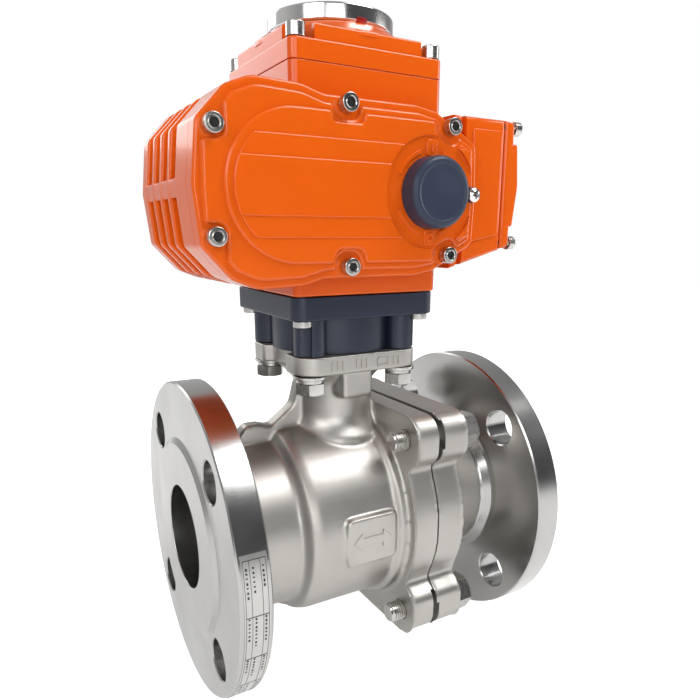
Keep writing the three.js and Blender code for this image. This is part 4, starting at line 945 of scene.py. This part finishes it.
def makeHousing():
    half, z = casing["half"], casing["axisZ"]
    low = span("gearbox_housing")[0][2]
    front, rear = casing["frontY"], casing["rearY"]
    slotted = gearHalf[:5] + [(-38, 39, 8), (-50.3, 39.3, 0), (-50.3, 35, 1), (-63.3, 30.5, 3),
                              (-72.3, 19.5, 3), (-74.3, 0, 0)]
    column = prism(box(half, half, casing["columnEdge"]), low, casing["seamTop"], "z", (0.9, 0.25))
    housing = toObject("housing_casting", column)
    weld(housing, prism(faceOutline(mirrored(slotted)), front, rear, "y", (0, 2)))
    spine = [(-60, -3.9, 0), (-60, 3.9, 0), (-82.3, 3.9, 1.2), (-82.8, 0, 0), (-82.3, -3.9, 1.2)]
    weld(housing, prism(faceOutline(spine), front + 5, rear - 2, "y"))
    outline = faceOutline(mirrored(gearHalf))
    starts = casing["finStarts"]
    edge = casing["finEdge"]
    weld(housing, prism(outline, front, starts[0], "y", (0, edge)))
    for a, b in zip(starts, starts[1:]):
        weld(housing, prism(outline, a + casing["finGap"], b, "y", (edge, edge)))
    weld(housing, prism(outline, starts[-1] + casing["finGap"], rear, "y", (edge, 2.2)))
    side = [(46, 128, 0), (77.1, 136.5, 0), (77.1, 198.7, 0), (46, 198.7, 0)]
    weld(housing, prism(rounded(side), -half, half, "y", (2, 2)))
    rib = [(56.5, 140.5, 1.2), (74.8, 144, 1.2), (74.8, 193.5, 1.2), (56.5, 193.5, 1.2)]
    weld(housing, prism(rounded(rib), -half - 0.8, -half + 2, "y", (0.8, 0)))
    carve(housing, gearHollow("gear_hollow", -41, casing["chamberY"], (-42, -31)))
    inner, inwardY = half - casing["wall"], -27
    shaft = box(inner, (inner - inwardY) / 2, 2, (0, (inner + inwardY) / 2))
    carve(housing, prism(shaft, casing["floor"], 214))
    carve(housing, rod(casing["motorRadius"], -29, rear - 4, "y", (motorX, z)))
    carve(housing, rod(7, -33, -26, "y", (motorX, z), sides=32), rod(2.8, -33, -24, "y", (idlerX, z), sides=24))
    carve(housing, rod(11.3, -33, 30, "y", (wormX, z)))
    inside = [(44, 134, 0), (78, 142.8, 0), (78, 192.7, 0), (44, 192.7, 0)]
    carve(housing, prism(rounded(inside), -half + 6, half - 6, "y"))
    carve(housing, block((30, -20, 140), (50, 26, 188)))
    carve(housing, rod(14, low - 1, 130))
    carve(housing, prism(rounded([(49.2, z - 50), (52.6, z - 50), (52.6, z + 50), (49.2, z + 50)]), -half - 3,
                         -half + 3.6, "y"))
    hole = casing["screwHole"]
    carve(housing, *rods(3.2, low - 1, low + 9.5, "z", placesOf("adapter_screw"), sides=24),
          *rods(2.3, 200, 213, "z", placesOf("top_screw"), sides=24),
          *rods(hole, front - 1, front + 7.4, "y", coverScrewPlaces, sides=24),
          *rods(hole, 68.1, 78, "x", placesOf("wiring_screw", "x"), sides=24))
    plug = middle("conduit_plug")
    carve(housing, rod(8.5, half - 7, half + 1, "y", (plug[0], plug[2])))
    finishPiece(housing, "orangePaint", nodes=("gearbox_housing",))


def makeGearCover():
    z = casing["axisZ"]
    levels = {"rim": -47.8, "plateau": -49.6, "oval": -51.0, "terrace": -51.6, "middle": -52.2, "ring": -50.0}
    back = casing["frontY"] - 0.3
    flange = prism(faceOutline(mirrored(gearHalf)), levels["rim"], back, "y", (1.3, 0))
    cover = toObject("gear_cover_casting", flange)
    edge = insetCorners(mirrored(gearHalf), 3.3)
    upper = notched(edge, coverScrews[2:], 6.0)
    left = [c for c in upper if c[0] > -70.2 or abs(c[1]) < 5]
    at = next(i for i, c in enumerate(left) if c[0] < -78)
    plateau = left[:at] + [(-70.2, 28.8, 1.7), (-70.2, 16.2, 3.6), (-79.0, 16.2, 2), left[at],
                           (-79.2, -14.2, 2), (-70.8, -14.2, 3.6), (-70.8, -28.2, 1.7)] + left[at + 1:]
    weld(cover, prism(faceOutline(plateau, 6), levels["plateau"], levels["rim"] + 1, "y", (1.5, 0), 5))
    right = [(46.6, 0, 0), (46.2, 18.3, 3), (24, 30, 1.6)]
    oval = right + [(-41.5, 30, 0)] + [(-41.5 - 30 * math.sin(a), 30 * math.cos(a), 0)
                                       for a in [math.pi * i / 48 for i in range(1, 24)]] + [(-71.5, 0, 0)]
    oval = notched(mirrored(oval), coverScrews[2:], 7.2)
    weld(cover, prism(faceOutline(oval, 6), levels["oval"], levels["rim"] + 1, "y", (1.3, 0), 5))

    def terrace(height, level, arc):
        first = math.asin(height / arc)
        half = [(44.6, 0, 0), (44.6, min(height, 18), 0.5), (41.5, height, 0.5)] if height > 18 else [
            (44.6, 0, 0), (44.6, height, 0.5)]
        turns = [first * (1 - i / 16) for i in range(17)]
        half += [(-41.5 - arc * math.cos(a), arc * math.sin(a), 0) for a in turns]
        weld(cover, prism(faceOutline(mirrored(half)), level, levels["rim"] + 1, "y", (0.6, 0)))

    terrace(19.5, levels["terrace"], 26.4)
    terrace(11.2, levels["middle"], 26.6)
    outside = -55  # clear of the cover's face
    ring = toObject("ring", rod(24.2, outside, levels["ring"], "y", (wormX, z), (0, 0.3), 96))
    flare = [(wormX - 14, -19.5, 0.5), (wormX - 14, 19.5, 0.5), (8.4, 19.5, 1), (2.6, 11.2, 1.5),
             (2.6, -11.2, 1.5), (8.4, -19.5, 1)]
    weld(ring, prism(rounded(aboutAxis(flare)), outside, levels["ring"], "y"))
    weld(ring, prism(box(18, 9.6, 1, (wormX + 18, z)), outside, levels["ring"], "y"))
    carve(cover, takeSolid(ring))
    for side in (1, -1):
        for first, last in ((math.radians(24), math.radians(72)), (math.radians(108), math.radians(156))):
            turns = [first + (last - first) * i / 12 for i in range(13)]
            band = [Vector((wormX + r * math.cos(a), z + side * r * math.sin(a)))
                    for r, way in ((18.9, 1), (17.1, -1)) for a in turns[::way]]
            weld(cover, prism(band[::side], levels["ring"] - 0.75, levels["ring"] + 1, "y", (0.3, 0)))
        tip = math.radians(24)
        arrow = [(wormX + r * math.cos(a), z + side * r * math.sin(a), 0.2)
                 for r, a in ((15.6, tip + 0.08), (18, tip - 0.14), (20.4, tip + 0.08))]
        weld(cover, prism(rounded(arrow[::side]), levels["ring"] - 0.75, levels["ring"] + 1, "y", (0.2, 0)))
    for height in (19, -19):  # a small plate above and one below, with a bar and a ring on them
        weld(cover, prism(box(2.9, 3.5, 1.4, (wormX, z + height)), levels["ring"] - 0.7, levels["ring"] + 1,
                          "y", (0.4, 0)))
    raised = levels["ring"] - 1.3
    weld(cover, prism(box(0.45, 1.9, 0.4, (wormX, z + 19)), raised, levels["ring"], "y", (0.2, 0)))
    weld(cover, lathe([(raised, 1.0, 0.15), (raised, 1.9, 0.15), (levels["ring"], 1.9), (levels["ring"], 1.0)],
                      "y", (wormX, z - 19), 32))
    carve(cover, gearHollow("cover_hollow", -47, back + 1, (-52, -38)))
    carve(cover, *rods(casing["screwHole"], outside, back + 1, "y", coverScrewPlaces, sides=24),
          *rods(4.0, outside, levels["rim"], "y", coverScrewPlaces, sides=32),
          rod(5.4, outside, -44, "y", (wormX, z)),
          rod(1.6, outside, -42, "y", across(middle("cap_screw"), "y"), sides=20))
    finishPiece(cover, "orangePaint", nodes=("gear_cover",))


def makeTopCover():
    half, low = casing["half"], span("top_cover")[0][2]
    spots, rise = placesOf("top_screw"), low + 8.3
    deck = toObject("lid_casting", prism(box(half - 1.5, half - 1.5, 3), low + 7, 227, "z", (0, 1.1)))
    weld(deck, lathe([(225, 0), (225, 36.5), (227, 36.2, 2), (231.2, 30.4, 0.8), (231.7, 29.6, 0.3),
                      (231.7, 0)], sides=128))
    carve(deck, *rods(7.6, rise, 233, "z", spots, (0.4, 0)),
          *[prism(box(9, 9, 0.5, (x * 1.27, y * 1.27)), rise, 233) for x, y in spots])
    weld(deck, prism(box(half, half, casing["columnEdge"]), low, rise, "z", (0.25, 1.0)))
    carve(deck, prism(box(31, 31, 4), low - 1, 217), rod(27.5, low - 1, 227))
    carve(deck, rod(21, low, 234, sides=96), *rods(2.3, low - 1, 229, "z", spots, sides=24))
    finishPiece(deck, "orangePaint", nodes=("top_cover",))


def makeWiringCover():
    low, high = span("wiring_cover")
    start, half = low[0], casing["half"]
    face = 83.8
    outline = rounded([(start, low[2] + 0.2), (face, low[2] + 1, 3), (face, high[2] - 0.6, 3),
                       (start, high[2])])
    cover = toObject("wiring_lid", prism(outline, -half, half, "y", (2.0, 2.0)))
    bulge = [(80, 148.2), (85.2, 148.2, 1.4), (87.7, 168, 14), (86, 188, 1.4), (80, 188)]
    weld(cover, prism(rounded(bulge), -half + 0.1, half - 0.1, "y", (1, 1)))
    carve(cover, prism(box(half - 7, 22, 2, (0, 168)), start - 1, start + 2.6, "x"),
          *rods(casing["screwHole"], start - 1, 90, "x", placesOf("wiring_screw", "x"), sides=24))
    finishPiece(cover, "orangePaint", nodes=("wiring_cover",))


def makeBezel():
    low, high = span("indicator_bezel")
    bottom, top = low[2], high[2]
    bezel = toObject("bezel_ring", lathe(
        [(bottom, 20.8), (bottom, 28.2, 0.3), (bottom + 1.2, 29, 0.3), (top, 29, 0.9), (top, 24.3, 0.5),
         (top - 1.1, 23, 0.3), (bottom + 2.4, 23), (bottom + 2.4, 20.8)], sides=128))
    carve(bezel, block((-2.6, -31, bottom - 1), (2.6, -24, bottom + 2.2)))
    finishPiece(bezel, "bezelSteel", nodes=("indicator_bezel",))
    slotBack = toObject("bezel_slot", block((-2.5, -27.2, bottom + 0.05), (2.5, -24.2, bottom + 2.15), 0, 0.2))
    finishPiece(slotBack, "indicatorPlastic")
    base = bottom + 2.7
    window = toObject("window_dome", lathe(
        [(base, 0), (base, 22.6, 0.2), (base + 1.8, 22.6, 0.4), (base + 3.4, 18, 6), (base + 4.5, 8, 14),
         (base + 4.7, 0)], sides=96))
    finishPiece(window, "clearWindow", nodes=("indicator_window",))
    pointer = rounded([(-13.5, 0, 0.4), (-9, -3.6, 0.4), (-9, -1.3), (9, -1.3), (9, -3.6, 0.4), (13.5, 0, 0.4),
                       (9, 3.6, 0.4), (9, 1.3), (-9, 1.3), (-9, 3.6, 0.4)])
    arrow = toObject("indicator_arrow", prism(pointer, 230.05, 230.7, "z", (0, 0.2)))
    finishPiece(arrow, "seatPolymer", "quarter_turn")


def makeConduitPlug():
    low, high = span("conduit_plug")
    x, z = across(middle("conduit_plug"), "y")
    face = casing["half"] + 0.3
    plug = toObject("gland_plug", rod(8.2, low[1], face + 0.6, "y", (x, z)))
    weld(plug, rod(11.5, face, face + 1.2, "y", (x, z), (0, 0.3)),
         hexHead(21, face + 1, high[1], "y", (x, z), 1))
    carve(plug, rod(4.6, high[1] - 1.2, high[1] + 1, "y", (x, z)))
    finishPiece(plug, "blackPlastic", nodes=("conduit_plug",))


# ---- override cap ----

def makeOverrideCap():
    low, high = span("override_cap")
    z, base, front = casing["axisZ"], high[1], low[1]
    cap = toObject("knob_cap", lathe(
        [(base, 12.8), (base, 15.6, 0.5), (front, 15.2, 2.6), (front, 12.4, 0.6), (front + 0.4, 11.6, 0.8),
         (front + 0.35, 0), (front + 2.4, 0), (front + 2.4, 12.8)], "y", (wormX, z), 96, 6))
    weld(cap, prism(box(2.4, 3.2, 0.4, (wormX + 15.5, z)), base - 2.1, base, "y", (0.5, 0)))
    finishPiece(cap, "capRubber", "cap", ("override_cap",))
    screwX = middle("cap_screw")[0]
    strap = rounded([(43.8, z - 3.2, 0.5), (screwX + 2, z - 3.6, 3.4), (screwX + 3.6, z, 1),
                     (screwX + 2, z + 3.6, 3.4), (43.8, z + 3.2, 0.5)])
    finishPiece(toObject("cap_strap", prism(strap, base - 0.5, base + 0.3, "y", (0.2, 0))), "capRubber")
    seat = base - 0.55
    screw = toObject("pan_screw", lathe([(seat + 7, 0), (seat + 7, 1.3), (seat, 1.3), (seat, 3.5, 0.3),
                                         (seat - 1.0, 3.1, 1.4), (seat - 1.9, 1.4, 0.8), (seat - 1.95, 0)], "y",
                                        (screwX, z), 48))
    for halfX, halfZ in ((1.9, 0.42), (0.42, 1.9)):  # the cross in its head
        carve(screw, prism(box(halfX, halfZ, 0, (screwX, z)), seat - 3, seat - 0.7, "y"))
    finishPiece(screw, "bezelSteel", nodes=("cap_screw",))


def dressInnerParts():  # the hidden works keep their shapes
    finishes = {
        "seatPolymer": ("body_gasket", "stem_packing"),
        "boltSteel": ("gland_nut", "stem", "drive_coupling", "output_shaft", "worm_shaft", "motor_pinion",
                      "worm_bearing_front", "worm_bearing_rear"),
        "blackPlastic": ("motor", "limit_switch_open", "limit_switch_close"),
        "boardGreen": ("terminal_board",),
        "indicatorPlastic": ("switch_cams", "indicator_disc"),
        "wheelBronze": ("worm_wheel",),
        "gearBrass": ("drive_gear", "idler_gear"),
    }
    for look, names in finishes.items():
        for name in names:
            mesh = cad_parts[name].data
            mesh.materials.clear()
            mesh.materials.append(materials[look])


makeAdapter()
makeScrews()
makeHousing()
makeGearCover()
makeTopCover()
makeWiringCover()
makeBezel()
makeConduitPlug()
makeOverrideCap()
dressInnerParts()
print("actuator ready")
